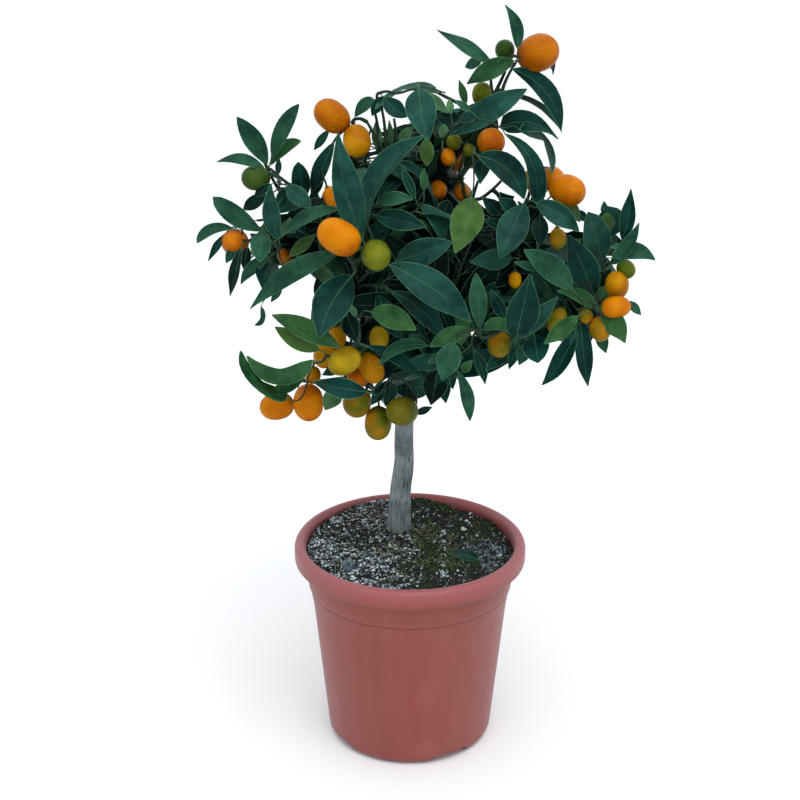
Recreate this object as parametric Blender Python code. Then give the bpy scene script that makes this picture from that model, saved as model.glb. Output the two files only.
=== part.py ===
"""A kumquat tree in its nursery pot, as separate closed solids in metres, with +Z up.

The origin is the middle of the pot's flat underside, and the front of the tree faces -Y.
"""

import math

import bmesh
import bpy
from mathutils import Vector, noise

# Clearance between touching pieces, and how much wider a limb's cutter is
GAP = 0.0003
ROOM = 0.0004
SHARP_ANGLE = math.radians(40)

# Pot
RIM_DIAMETER = 0.210
POT_HEIGHT = 0.192
RIM_HEIGHT = 0.0175
RIM_WIDTH = 0.0105
RIM_SHOULDER = 0.0115
LIP_ROUND = 0.0030
COLLAR_HEIGHT = 0.043
COLLAR_STEP = 0.0022
GROOVE_STEP = 0.0015
GROOVE_HEIGHT = 0.0012
FLARE_HEIGHT = 0.0215
BASE_DIAMETER = 0.150
UNDERSIDE_DIAMETER = 0.134
WALL_SLOPE = math.tan(math.radians(5.8))
WALL = 0.0022
FLOOR = 0.0028
EDGE_HEIGHT = 0.010
EDGE_STEPS = 3
RIM_STEPS = 6
POT_SIDES = 32

# Drainage notches in the pot's bottom edge, turned from the front towards +X
NOTCH_COUNT = 4
NOTCH_TURN = math.radians(30.5)
NOTCH_WIDTH = 0.035
NOTCH_TOP_SHARE = 0.8
NOTCH_HEIGHT = 0.0078
NOTCH_SHOULDER = 0.6
NOTCH_START = 0.058
SLOT_WIDTH = 0.014
SLOT_FOOT = 0.0038
SLOT_TOP = 0.0072

# Soil
SOIL_LEVEL = 0.183
MOUND_HEIGHT = 0.009
MOUND_SPREAD = 0.045
MOUND_CENTRE = Vector((-0.015, 0.065))
SOIL_TILT = Vector((-0.0126, 0.018))
SOIL_UNEVEN = 0.0011
CRUMBS_PER_METRE = 60
SOIL_CREST = 0.1905
SOIL_RINGS = 6
SOIL_FOOT_RADIUS = 0.054

# Trunk
TRUNK_FOOT = Vector((-0.0100, 0.0290, 0.1890))
LOW_BEND = Vector((-0.0105, 0.0290, 0.2250))
HIGH_BEND = Vector((-0.0055, 0.0280, 0.2620))
FORK = Vector((-0.0035, 0.0260, 0.3350))
SEAT_RADIUS = 0.019
TRUNK_DIAMETER = 0.0205
FLARE_DIAMETER = 0.0256
FLARE_LENGTH = 0.016
FLARE_LOBES = 4
FLARE_RIPPLE = 0.07
FORK_DIAMETER = 0.0150
TRUNK_SIDES = 12
TRUNK_STEPS = 10

# Boughs
BOUGH_SIDES = 7
BOUGH_STEPS = 4
BOUGH_TAPER = 0.62
BOUGH_SINK = 0.010
LEAVE_ALONG = 0.45
ARRIVE_RISE = 0.35
HANDLE_SHARE = 0.35
CURVE_SAMPLES = 60

# Foliage
UNEVEN_COARSE = 0.24
UNEVEN_FINE = 0.15
LUMPS = 2.3
FINE_LUMPS = 5.5
TIP_SPREAD = 0.045
MASS_GAP = 0.0006

# Each mass of leaves: its centre, and its half sizes along X, Y and Z
MASSES = {
    "crown_tip": ((0.077, 0.000, 0.617), (0.052, 0.046, 0.047)),
    "crown_top": ((0.026, 0.015, 0.556), (0.058, 0.056, 0.046)),
    "upper_left": ((-0.052, -0.020, 0.558), (0.040, 0.046, 0.046)),
    "left_upper": ((-0.122, -0.005, 0.542), (0.038, 0.044, 0.046)),
    "left": ((-0.134, -0.020, 0.474), (0.044, 0.050, 0.044)),
    "inner_left": ((-0.078, 0.015, 0.479), (0.046, 0.056, 0.054)),
    "front_left": ((-0.048, -0.080, 0.490), (0.056, 0.052, 0.062)),
    "low_left": ((-0.046, -0.055, 0.385), (0.056, 0.052, 0.048)),
    "low_left_tip": ((-0.104, -0.068, 0.374), (0.040, 0.038, 0.038)),
    "front": ((0.038, -0.068, 0.474), (0.058, 0.054, 0.062)),
    "low_front": ((0.042, -0.045, 0.388), (0.054, 0.052, 0.042)),
    "right_upper": ((0.104, 0.000, 0.534), (0.040, 0.048, 0.042)),
    "inner_right": ((0.095, -0.012, 0.466), (0.048, 0.058, 0.052)),
    "right": ((0.158, -0.015, 0.470), (0.044, 0.050, 0.047)),
    "low_right": ((0.136, -0.028, 0.404), (0.052, 0.050, 0.038)),
    "back_top": ((0.034, 0.088, 0.520), (0.060, 0.056, 0.054)),
    "back_left": ((-0.068, 0.090, 0.460), (0.060, 0.062, 0.060)),
    "back_right": ((0.113, 0.086, 0.458), (0.058, 0.062, 0.060)),
    "back_low": ((0.020, 0.100, 0.400), (0.062, 0.068, 0.050)),
}

# The furthest leaves and fruit that a mass reaches out to
TIPS = {
    "crown_tip": ((0.077, 0.000, 0.670), (0.022, 0.002, 0.652), (0.127, 0.004, 0.569)),
    "crown_top": ((-0.004, 0.000, 0.611),),
    "upper_left": ((-0.080, -0.030, 0.590), (-0.033, -0.015, 0.614)),
    "left_upper": ((-0.159, -0.010, 0.547), (-0.143, -0.008, 0.582), (-0.092, -0.010, 0.590)),
    "left": ((-0.179, -0.028, 0.484), (-0.166, -0.035, 0.524), (-0.152, -0.030, 0.426)),
    "low_left": ((-0.027, -0.052, 0.311), (0.002, -0.070, 0.336), (-0.083, -0.070, 0.334)),
    "low_left_tip": ((-0.113, -0.075, 0.330), (-0.146, -0.075, 0.394), (-0.106, -0.085, 0.430)),
    "front_left": ((-0.126, -0.095, 0.441), (-0.055, -0.134, 0.484)),
    "front": ((0.060, -0.124, 0.455),),
    "low_front": ((0.050, -0.050, 0.329), (0.096, -0.060, 0.372)),
    "right_upper": ((0.146, -0.005, 0.518),),
    "right": ((0.206, -0.020, 0.463), (0.185, 0.000, 0.517)),
    "low_right": ((0.153, -0.030, 0.353), (0.114, -0.030, 0.355), (0.196, -0.025, 0.418)),
    "back_top": ((0.029, 0.150, 0.550),),
    "back_left": ((-0.140, 0.120, 0.450), (-0.070, 0.168, 0.465)),
    "back_right": ((0.184, 0.105, 0.460), (0.119, 0.160, 0.440)),
    "back_low": ((0.020, 0.184, 0.408), (-0.035, 0.130, 0.342)),
}

# Each bough: what it grows from, how far along that, its diameter there, and the mass it enters
BOUGHS = {
    "leader": ("trunk", 1.00, 0.0125, "crown_top"),
    "left": ("trunk", 0.87, 0.0095, "inner_left"),
    "right": ("trunk", 0.91, 0.0100, "inner_right"),
    "front": ("trunk", 0.80, 0.0080, "front"),
    "back": ("trunk", 0.84, 0.0085, "back_low"),
    "front_left": ("left", 0.42, 0.0060, "front_left"),
    "low_left": ("trunk", 0.74, 0.0058, "low_left"),
    "low_front": ("front", 0.30, 0.0050, "low_front"),
    "low_right": ("right", 0.40, 0.0060, "low_right"),
    "upper_left": ("leader", 0.42, 0.0062, "upper_left"),
    "back_top": ("leader", 0.58, 0.0062, "back_top"),
    "back_left": ("back", 0.34, 0.0060, "back_left"),
    "back_right": ("back", 0.48, 0.0060, "back_right"),
}


def clear_scene():
    for item in list(bpy.data.objects):
        bpy.data.objects.remove(item, do_unlink=True)


def make_material(name, colour, roughness):
    """A plain finish with the piece's own colour."""
    material = bpy.data.materials.new(name)
    material.use_nodes = True
    shader = material.node_tree.nodes["Principled BSDF"]
    shader.inputs["Base Color"].default_value = (*colour, 1.0)
    shader.inputs["Roughness"].default_value = roughness
    shader.inputs["Metallic"].default_value = 0.0
    return material


def add_object(name, points, faces, material=None):
    """One named object from points and faces; without a material it is a cutter."""
    mesh = bpy.data.meshes.new(name)
    mesh.from_pydata([tuple(point) for point in points], [], faces)
    item = bpy.data.objects.new(name, mesh)
    bpy.context.scene.collection.objects.link(item)
    form = bmesh.new()
    form.from_mesh(mesh)
    bmesh.ops.recalc_face_normals(form, faces=form.faces)
    form.to_mesh(mesh)
    form.free()
    if material is None:
        item.hide_render = True
        item.display_type = "WIRE"
    else:
        mesh.materials.append(material)
        mesh.shade_smooth()
        mesh.set_sharp_from_angle(angle=SHARP_ANGLE)
    return item


def cut(item, cutter):
    """Take a cutter's shape out of an object."""
    step = item.modifiers.new(f"cut by {cutter.name}", "BOOLEAN")
    step.operation = "DIFFERENCE"
    step.solver = "EXACT"
    step.object = cutter


def turned(name, profile, material=None, sides=POT_SIDES):
    """A solid of revolution; the profile is (radius, height) from the axis round to the axis."""
    points = [(0.0, 0.0, profile[0][1])]
    rings = profile[1:-1]
    for radius, height in rings:
        for side in range(sides):
            turn = math.tau * side / sides
            points.append((radius * math.sin(turn), -radius * math.cos(turn), height))
    points.append((0.0, 0.0, profile[-1][1]))
    last = len(points) - 1
    faces = []
    for side in range(sides):
        after = (side + 1) % sides
        faces.append((0, 1 + after, 1 + side))
        for ring in range(len(rings) - 1):
            low = 1 + ring * sides
            high = low + sides
            faces.append((low + side, low + after, high + after, high + side))
        top = 1 + (len(rings) - 1) * sides
        faces.append((top + side, top + after, last))
    return add_object(name, points, faces, material)


def arc(centre, half_sizes, start, end, steps):
    """Points on a stretch of an upright ellipse, in degrees from its outer side."""
    points = []
    for step in range(steps + 1):
        angle = math.radians(start + (end - start) * step / steps)
        radius = centre[0] + half_sizes[0] * math.cos(angle)
        height = centre[1] + half_sizes[1] * math.sin(angle)
        points.append((radius, height))
    return points


def wall_radius(height):
    """The wall's outer radius at a height, without the collar."""
    return BASE_DIAMETER / 2 + WALL_SLOPE * height


def notch_boxes(name, start, end, width, low, high):
    """The same upright block at each drainage notch, its length along the radius, narrower at the top."""
    shoulder = low + (high - low) * NOTCH_SHOULDER
    top = NOTCH_TOP_SHARE
    outline = [(-1, low), (1, low), (1, shoulder), (top, high), (-top, high), (-1, shoulder)]
    points = []
    faces = []
    for notch in range(NOTCH_COUNT):
        turn = NOTCH_TURN + math.tau * notch / NOTCH_COUNT
        outward = Vector((math.sin(turn), -math.cos(turn), 0.0))
        across = Vector((math.cos(turn), math.sin(turn), 0.0))
        first = len(points)
        for radius in (start, end):
            for side, height in outline:
                points.append(outward * radius + across * side * width / 2 + Vector((0, 0, height)))
        count = len(outline)
        faces.append([first + corner for corner in range(count)])
        faces.append([first + count + corner for corner in reversed(range(count))])
        for corner in range(count):
            after = (corner + 1) % count
            faces.append((first + after, first + corner, first + count + corner, first + count + after))
    return add_object(name, points, faces)


def make_pot(material):
    """A conical shell with a rolled rim, a stepped collar, a flat underside and four notches."""
    rim_radius = RIM_DIAMETER / 2
    rim_foot = POT_HEIGHT - RIM_HEIGHT
    collar_foot = POT_HEIGHT - COLLAR_HEIGHT
    rim_middle = (rim_radius - RIM_WIDTH / 2, rim_foot + RIM_SHOULDER)
    edge = (UNDERSIDE_DIAMETER / 2, EDGE_HEIGHT)
    edge_width = wall_radius(EDGE_HEIGHT) - UNDERSIDE_DIAMETER / 2
    outside = [(0.0, 0.0)]
    outside += arc(edge, (edge_width, EDGE_HEIGHT), -90, 0, EDGE_STEPS)
    flare_foot = collar_foot - FLARE_HEIGHT
    outside.append((wall_radius(flare_foot), flare_foot))
    outside.append((wall_radius(collar_foot) + GROOVE_STEP, collar_foot))
    outside.append((wall_radius(collar_foot) + COLLAR_STEP, collar_foot + GROOVE_HEIGHT))
    outside.append((wall_radius(rim_foot) + COLLAR_STEP, rim_foot))
    outside.append((rim_radius - LIP_ROUND, rim_foot))
    outside.append((rim_radius, rim_foot + LIP_ROUND))
    outside += arc(rim_middle, (RIM_WIDTH / 2, RIM_HEIGHT - RIM_SHOULDER), 0, 180, RIM_STEPS)
    outside.append((0.0, rim_middle[1]))
    pot = turned("pot", outside, material)

    inner_lip = rim_radius - RIM_WIDTH + 2 * GAP
    inside = [
        (0.0, FLOOR),
        (wall_radius(FLOOR) - 2 * WALL, FLOOR),
        (wall_radius(2 * FLOOR) - WALL, 2 * FLOOR),
        (wall_radius(rim_foot) - WALL, rim_foot - RIM_HEIGHT / 2),
        (inner_lip, rim_foot + RIM_SHOULDER / 2),
        (inner_lip, POT_HEIGHT + RIM_HEIGHT),
        (0.0, POT_HEIGHT + RIM_HEIGHT),
    ]
    cavity = turned("pot_cavity", inside)
    below = -NOTCH_START / 2
    shell_width = NOTCH_WIDTH + 2 * WALL
    notch_shell = notch_boxes(
        "notch_shell", NOTCH_START - WALL, rim_radius, shell_width, below, NOTCH_HEIGHT + WALL
    )
    notch = notch_boxes("notch", NOTCH_START, rim_radius, NOTCH_WIDTH, below, NOTCH_HEIGHT)
    slot = notch_boxes(
        "drain_slot", NOTCH_START - 3 * WALL, NOTCH_START + WALL, SLOT_WIDTH, SLOT_FOOT, SLOT_TOP
    )
    cut(cavity, notch_shell)
    cut(pot, cavity)
    cut(pot, notch)
    cut(pot, slot)
    return pot


def smooth_step(value):
    value = min(max(value, 0.0), 1.0)
    return value * value * (3 - 2 * value)


def soil_height(x, y):
    """A mound round the trunk's foot on a gently tilted, uneven level, flat under the trunk."""
    place = Vector((x, y))
    mound = MOUND_HEIGHT * math.exp(-(place - MOUND_CENTRE).length_squared / (2 * MOUND_SPREAD**2))
    tilt = SOIL_TILT.dot(place)
    crumbs = SOIL_UNEVEN * noise.noise((place * CRUMBS_PER_METRE).to_3d())
    natural = min(SOIL_LEVEL + mound + tilt + crumbs, SOIL_CREST)
    reach = (place - TRUNK_FOOT.xy).length
    away = smooth_step((reach - SEAT_RADIUS) / SEAT_RADIUS)
    return TRUNK_FOOT.z + (natural - TRUNK_FOOT.z) * away


def make_soil(material):
    """The filling of the pot: flat below, tapered with the wall, and uneven on top."""
    sides = POT_SIDES
    rim_foot = POT_HEIGHT - RIM_HEIGHT
    ledge = NOTCH_HEIGHT + WALL + 2 * GAP
    top_radius = wall_radius(rim_foot - RIM_HEIGHT / 2) - WALL - 3 * GAP
    low_radius = wall_radius(ledge) - WALL - 3 * GAP
    points = [(0.0, 0.0, soil_height(0.0, 0.0))]
    for ring in range(1, SOIL_RINGS + 1):
        radius = top_radius * ring / SOIL_RINGS
        for side in range(sides):
            turn = math.tau * side / sides
            x = radius * math.sin(turn)
            y = -radius * math.cos(turn)
            points.append((x, y, soil_height(x, y)))
    for radius, height in ((low_radius, ledge), (SOIL_FOOT_RADIUS, ledge), (SOIL_FOOT_RADIUS, FLOOR + GAP)):
        for side in range(sides):
            turn = math.tau * side / sides
            points.append((radius * math.sin(turn), -radius * math.cos(turn), height))
    points.append((0.0, 0.0, FLOOR + GAP))
    last = len(points) - 1
    faces = []
    for side in range(sides):
        after = (side + 1) % sides
        faces.append((0, 1 + side, 1 + after))
        for ring in range(SOIL_RINGS + 2):
            near = 1 + ring * sides
            far = near + sides
            faces.append((near + side, far + side, far + after, near + after))
        bottom = 1 + (SOIL_RINGS + 2) * sides
        faces.append((bottom + side, last, bottom + after))
    return add_object("soil", points, faces, material)


def bezier(points, share):
    """The point at a share of the way along a cubic curve through four control points."""
    rest = 1 - share
    weights = (rest**3, 3 * rest * rest * share, 3 * rest * share * share, share**3)
    place = Vector((0.0, 0.0, 0.0))
    for weight, point in zip(weights, points):
        place += point * weight
    return place


def limb(name, path, radii, sides, material=None, ripple=0.0):
    """A tapering round limb along a path, with flat ends; a ripple lobes its foot as roots do."""
    points = []
    faces = []
    side_way = Vector((1.0, 0.0, 0.0))
    for step, (centre, radius) in enumerate(zip(path, radii)):
        before = path[max(step - 1, 0)]
        after = path[min(step + 1, len(path) - 1)]
        along = (after - before).normalized()
        if step == 0 and ripple > 0:
            along = Vector((0.0, 0.0, 1.0))
        side_way = (side_way - along * side_way.dot(along)).normalized()
        other_way = along.cross(side_way)
        swell = ripple * math.exp(-step)
        for side in range(sides):
            turn = math.tau * side / sides
            reach = radius * (1 + swell * math.cos(FLARE_LOBES * turn))
            points.append(centre + side_way * reach * math.cos(turn) + other_way * reach * math.sin(turn))
    for ring in range(len(path) - 1):
        low = ring * sides
        high = low + sides
        for side in range(sides):
            after = (side + 1) % sides
            faces.append((low + side, low + after, high + after, high + side))
    faces.append(tuple(range(sides)))
    top = (len(path) - 1) * sides
    faces.append(tuple(top + side for side in range(sides)))
    return add_object(name, points, faces, material)


def make_room(name, path, radii, sides):
    """A cutter just larger than a limb all round, so that what it cuts keeps its gap."""
    start = path[0] - (path[1] - path[0]).normalized() * GAP
    end = path[-1] + (path[-1] - path[-2]).normalized() * GAP
    return limb(f"{name}_room", [start, *path[1:-1], end], [radius + ROOM for radius in radii], sides)


def trunk_path(start):
    """A gentle double bend from the seat on the soil up to the fork."""
    control = (start, LOW_BEND, HIGH_BEND, FORK)
    return [bezier(control, step / TRUNK_STEPS) for step in range(TRUNK_STEPS + 1)]


def trunk_radius(place):
    """The trunk's radius: an even taper, plus the flare that dies away above the soil."""
    rise = place.z - TRUNK_FOOT.z
    share = rise / (FORK.z - TRUNK_FOOT.z)
    even = TRUNK_DIAMETER + (FORK_DIAMETER - TRUNK_DIAMETER) * share
    flare = (FLARE_DIAMETER - TRUNK_DIAMETER) * math.exp(-rise / FLARE_LENGTH)
    return (even + flare) / 2


def ellipsoid_radius(half_sizes, way):
    return 1 / math.sqrt(sum((part / half) ** 2 for part, half in zip(way, half_sizes)))


def mass_radius(name, way):
    """How far a mass reaches one way: an uneven ellipsoid drawn out to its tips.

    Flat faces halfway to each neighbour, weighted by both sizes, keep the masses apart.
    """
    centre, half_sizes = Vector(MASSES[name][0]), MASSES[name][1]
    seed = Vector((11.3, 5.7, 2.9)) * (list(MASSES).index(name) + 1)
    uneven = UNEVEN_COARSE * noise.noise(way * LUMPS + seed)
    uneven += UNEVEN_FINE * noise.noise(way * FINE_LUMPS + seed)
    reach = ellipsoid_radius(half_sizes, way) * (1 + uneven)
    for tip in TIPS.get(name, ()):
        towards = Vector(tip) - centre
        pull = math.exp(-(1 - way.dot(towards.normalized())) / TIP_SPREAD)
        reach += max(towards.length - reach, 0.0) * pull
    for other, (other_centre, other_sizes) in MASSES.items():
        if other == name:
            continue
        between = Vector(other_centre) - centre
        facing = way.dot(between.normalized())
        if facing > 0:
            mine = ellipsoid_radius(half_sizes, between.normalized())
            theirs = ellipsoid_radius(other_sizes, between.normalized())
            split = between.length * mine / (mine + theirs) - MASS_GAP / 2
            reach = min(reach, split / facing)
    return reach


def inside_mass(name, place):
    """How deep a place lies below a mass's surface, along the line from its centre."""
    offset = place - Vector(MASSES[name][0])
    return mass_radius(name, offset.normalized()) - offset.length


def make_mass(name, material):
    """One closed, uneven mass of leaves: a fine ball pushed out to its reach in every direction."""
    centre = Vector(MASSES[name][0])
    form = bmesh.new()
    bmesh.ops.create_icosphere(form, subdivisions=3, radius=1.0)
    ways = [vertex.co.normalized() for vertex in form.verts]
    places = [centre + way * mass_radius(name, way) for way in ways]
    for tip in TIPS.get(name, ()):
        towards = (Vector(tip) - centre).normalized()
        nearest = max(range(len(ways)), key=lambda index: ways[index].dot(towards))
        places[nearest] = centre + towards * mass_radius(name, towards)
    faces = [[vertex.index for vertex in face.verts] for face in form.faces]
    form.free()
    return add_object(f"foliage_{name}", places, faces, material)


def bough_curve(name, curves):
    """A bough's curve: it leaves its parent upwards and outwards, and bends into its mass."""
    parent, share, _, mass = BOUGHS[name]
    parent_path = curves[parent]
    place = share * (len(parent_path) - 1)
    index = min(int(place), len(parent_path) - 2)
    start = parent_path[index].lerp(parent_path[index + 1], place - index)
    along = (parent_path[index + 1] - parent_path[index]).normalized()
    end = Vector(MASSES[mass][0])
    span = (end - start).length
    outward = (end - start).normalized()
    leave = (along * LEAVE_ALONG + outward).normalized()
    if share == 1.0:
        start = start + along * 2 * GAP
        leave = along
    arrive = (outward + Vector((0, 0, ARRIVE_RISE))).normalized()
    handle = span * HANDLE_SHARE
    return (start, start + leave * handle, end - arrive * handle, end)


def sample_bough(name, curves):
    """The bough's centre line, ended where it has sunk a little way into its mass."""
    control = bough_curve(name, curves)
    mass = BOUGHS[name][3]
    end = 1.0
    for sample in range(1, CURVE_SAMPLES + 1):
        share = sample / CURVE_SAMPLES
        if inside_mass(mass, bezier(control, share)) > BOUGH_SINK:
            end = share
            break
    return [bezier(control, end * step / BOUGH_STEPS) for step in range(BOUGH_STEPS + 1)]


def make_limbs(material):
    """The trunk and every bough, each trimmed where it meets the limb it grows from."""
    start = TRUNK_FOOT + Vector((0, 0, GAP))
    path = trunk_path(start)
    radii = [trunk_radius(place) for place in path]
    curves = {"trunk": path}
    limb("trunk", path, radii, TRUNK_SIDES, material, FLARE_RIPPLE)
    cutters = {"trunk": make_room("trunk", path, radii, TRUNK_SIDES)}
    for name, (parent, share, diameter, _) in BOUGHS.items():
        path = sample_bough(name, curves)
        tapers = [1 - (1 - BOUGH_TAPER) * step / BOUGH_STEPS for step in range(BOUGH_STEPS + 1)]
        radii = [diameter / 2 * taper for taper in tapers]
        solid = limb(f"bough_{name}", path, radii, BOUGH_SIDES, material)
        if share < 1.0:
            cut(solid, cutters[parent])
        for other, other_path in curves.items():
            if other != parent and paths_meet(path, other_path):
                cut(solid, cutters[other])
        cutters[name] = make_room(f"bough_{name}", path, radii, BOUGH_SIDES)
        curves[name] = path
    return curves, cutters


def paths_meet(path, other_path):
    """Whether two limbs come close enough to touch."""
    return min((place - other).length for place in path for other in other_path) < TRUNK_DIAMETER


def make_foliage(material, curves, cutters):
    """Every mass of leaves, cut round the limbs that reach it."""
    for name in MASSES:
        mass = make_mass(name, material)
        for limb_name, path in curves.items():
            if max(inside_mass(name, place) for place in path) > -TRUNK_DIAMETER:
                cut(mass, cutters[limb_name])


def main():
    clear_scene()
    terracotta = make_material("pot_plastic", (0.30, 0.085, 0.066), 0.42)
    earth = make_material("soil", (0.035, 0.040, 0.034), 0.95)
    bark = make_material("bark", (0.125, 0.150, 0.155), 0.85)
    leaves = make_material("foliage", (0.022, 0.062, 0.040), 0.5)
    make_pot(terracotta)
    make_soil(earth)
    curves, cutters = make_limbs(bark)
    make_foliage(leaves, curves, cutters)


main()
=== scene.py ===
# Kumquat tree in its pot: finishes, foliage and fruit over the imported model, in metres.
import math

import bpy
import numpy as np
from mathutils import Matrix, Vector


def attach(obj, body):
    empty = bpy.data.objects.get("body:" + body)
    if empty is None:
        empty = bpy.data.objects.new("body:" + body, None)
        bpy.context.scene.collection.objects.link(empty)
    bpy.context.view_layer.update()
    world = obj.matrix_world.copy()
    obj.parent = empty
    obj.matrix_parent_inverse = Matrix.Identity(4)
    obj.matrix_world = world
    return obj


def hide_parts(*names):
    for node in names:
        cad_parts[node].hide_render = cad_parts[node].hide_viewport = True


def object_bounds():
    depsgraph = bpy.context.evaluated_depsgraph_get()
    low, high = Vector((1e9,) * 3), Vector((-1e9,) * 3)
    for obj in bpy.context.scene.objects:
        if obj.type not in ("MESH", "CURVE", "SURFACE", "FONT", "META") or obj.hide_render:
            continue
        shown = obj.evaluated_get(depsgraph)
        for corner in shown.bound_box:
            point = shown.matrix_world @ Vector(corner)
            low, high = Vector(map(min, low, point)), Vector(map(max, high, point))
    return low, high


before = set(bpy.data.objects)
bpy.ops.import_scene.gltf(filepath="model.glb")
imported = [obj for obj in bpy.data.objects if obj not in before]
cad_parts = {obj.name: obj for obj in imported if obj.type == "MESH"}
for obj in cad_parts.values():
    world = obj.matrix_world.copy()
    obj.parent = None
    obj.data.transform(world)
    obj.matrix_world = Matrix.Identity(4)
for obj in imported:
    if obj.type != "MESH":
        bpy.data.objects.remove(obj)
cadLow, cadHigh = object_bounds()
print("packed model loaded")

# The camera stands where the photograph was taken from. Its focal length is in photo pixels.
camera = {
    "place": (-0.0091, -1.40, 0.8765),
    "pitch": 21.4,
    "focal": 1707.0,
    "middle": 400.0,
    "sensor": 36.0,
}
eye = np.array(camera["place"])
pitch = math.radians(camera["pitch"])
upward = np.array([0.0, 0.0, 1.0])
rightward = np.array([1.0, 0.0, 0.0])
cameraUp = np.array([0.0, math.sin(pitch), math.cos(pitch)])
towardsCamera = np.array([0.0, -math.cos(pitch), math.sin(pitch)])


def addCamera():
    data = bpy.data.cameras.new("camera")
    data.sensor_width = camera["sensor"]
    data.lens = camera["focal"] * camera["sensor"] / (2 * camera["middle"])
    data.clip_end = 100
    holder = bpy.data.objects.new("camera", data)
    holder.location = camera["place"]
    holder.rotation_euler = (math.radians(90 - camera["pitch"]), 0, 0)
    bpy.context.collection.objects.link(holder)
    bpy.context.scene.camera = holder


def fromPhoto(across, down, depth):
    # the ray through a photo pixel, followed until its world y is the wanted depth
    across, down, depth = np.broadcast_arrays(*(np.asarray(v, float) for v in (across, down, depth)))
    right = (across - camera["middle"]) / camera["focal"]
    rise = (camera["middle"] - down) / camera["focal"]
    ray = np.stack([
        right,
        math.cos(pitch) + rise * math.sin(pitch),
        rise * math.cos(pitch) - math.sin(pitch),
    ], axis=-1)
    return eye + ray * ((depth - eye[1]) / ray[..., 1])[..., None]


def viewDepth(points):
    # how far points lie in front of the camera, along its axis
    return (points - eye) @ -towardsCamera


def toPhoto(points):
    # the photo pixel of each point: its offset across and up the view over its view depth
    scale = camera["focal"] / viewDepth(points)
    across = camera["middle"] + scale * ((points - eye) @ rightward)
    down = camera["middle"] - scale * ((points - eye) @ cameraUp)
    return across, down


addCamera()
print("camera placed")


def unit(vectors):
    # vectors over their own lengths
    return vectors / np.maximum(np.linalg.norm(vectors, axis=-1, keepdims=True), 1e-9)


def smooth(value):
    # 3t^2 - 2t^3, with t held between 0 and 1
    value = np.clip(value, 0, 1)
    return value * value * (3 - 2 * value)


def ripples(points, scale, seed, octaves=3):
    # a soft noise between about -1 and 1: sines along random directions, each octave twice as fine
    waves = np.random.default_rng(seed)
    total = np.zeros(points.shape[:-1])
    for octave in range(octaves):
        for _ in range(5):
            way = unit(waves.normal(size=3)) * scale * 2 ** octave * waves.uniform(0.7, 1.4)
            total = total + np.sin(points @ way + waves.uniform(0, 7)) / 2 ** octave
    return total / 4.2


def gridFaces(rows, columns, around=False):
    # quads of a grid of points; around also joins the last column to the first
    across = columns if around else columns - 1
    row, column = np.meshgrid(np.arange(rows - 1), np.arange(across), indexing="ij")
    after = (column + 1) % columns
    corners = [row * columns + column, row * columns + after,
               (row + 1) * columns + after, (row + 1) * columns + column]
    return np.stack(corners, axis=-1).reshape(-1, 4)


def halved(quads, outward=True):
    # each quad as two triangles that share its first and third corner; outward False turns them over
    first, second = quads[:, [0, 1, 2]], quads[:, [0, 2, 3]]
    both = np.concatenate([first, second])
    return both if outward else both[:, ::-1]


def fanFaces(centre, ring, sides, outward):
    # triangles from one point to a ring of points; outward False turns them over
    side = np.arange(sides)
    after = (side + 1) % sides
    first, second = (side, after) if outward else (after, side)
    return np.stack([np.full(sides, centre), ring + first, ring + second], axis=-1)


def repeated(faces, count, size):
    # the same faces for each of count shapes that have size points each
    return (faces[None] + (np.arange(count) * size)[:, None, None]).reshape(-1, faces.shape[1])


def roundFaces(rows, columns, count=1):
    # for each of count shapes, the quads round its grid and the fans that close it on the two points after it
    size = rows * columns + 2
    foot = fanFaces(size - 2, 0, columns, False)
    tip = fanFaces(size - 1, (rows - 1) * columns, columns, True)
    fans = np.concatenate([foot, tip])
    return repeated(gridFaces(rows, columns, True), count, size), repeated(fans, count, size)


def ringAbout(ways, turn):
    # for each way, the unit vectors square to it at each turn round it
    helper = np.eye(3)[np.argmin(np.abs(ways), axis=1)]
    first = unit(np.cross(ways, helper))
    second = np.cross(ways, first)
    return first[:, None] * np.cos(turn)[:, None] + second[:, None] * np.sin(turn)[:, None]


def tubes(paths, radii, sides):
    # a ring of each radius square to each path, shapes closed by a point at both ends
    count, steps = paths.shape[:2]
    along = unit(np.gradient(paths, axis=1))
    helper = np.eye(3)[np.argmin(np.abs(unit(paths[:, -1] - paths[:, 0])), axis=1)]
    first = unit(np.cross(np.repeat(helper[:, None], steps, axis=1), along))
    second = np.cross(along, first)
    turn = np.linspace(0, math.tau, sides, endpoint=False)[:, None]
    ring = first[:, :, None] * np.cos(turn) + second[:, :, None] * np.sin(turn)
    reach = radii if radii.ndim == 3 else np.repeat(radii[:, :, None], sides, axis=2)
    body = paths[:, :, None] + ring * reach[..., None]
    foot = paths[:, :1] - along[:, :1] * reach[:, :1].mean(axis=2, keepdims=True) * 0.5
    tip = paths[:, -1:] + along[:, -1:] * reach[:, -1:].mean(axis=2, keepdims=True) * 0.8
    points = np.concatenate([body.reshape(count, steps * sides, 3), foot, tip], axis=1)
    return points.reshape(-1, 3), *roundFaces(steps, sides, count)


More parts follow.
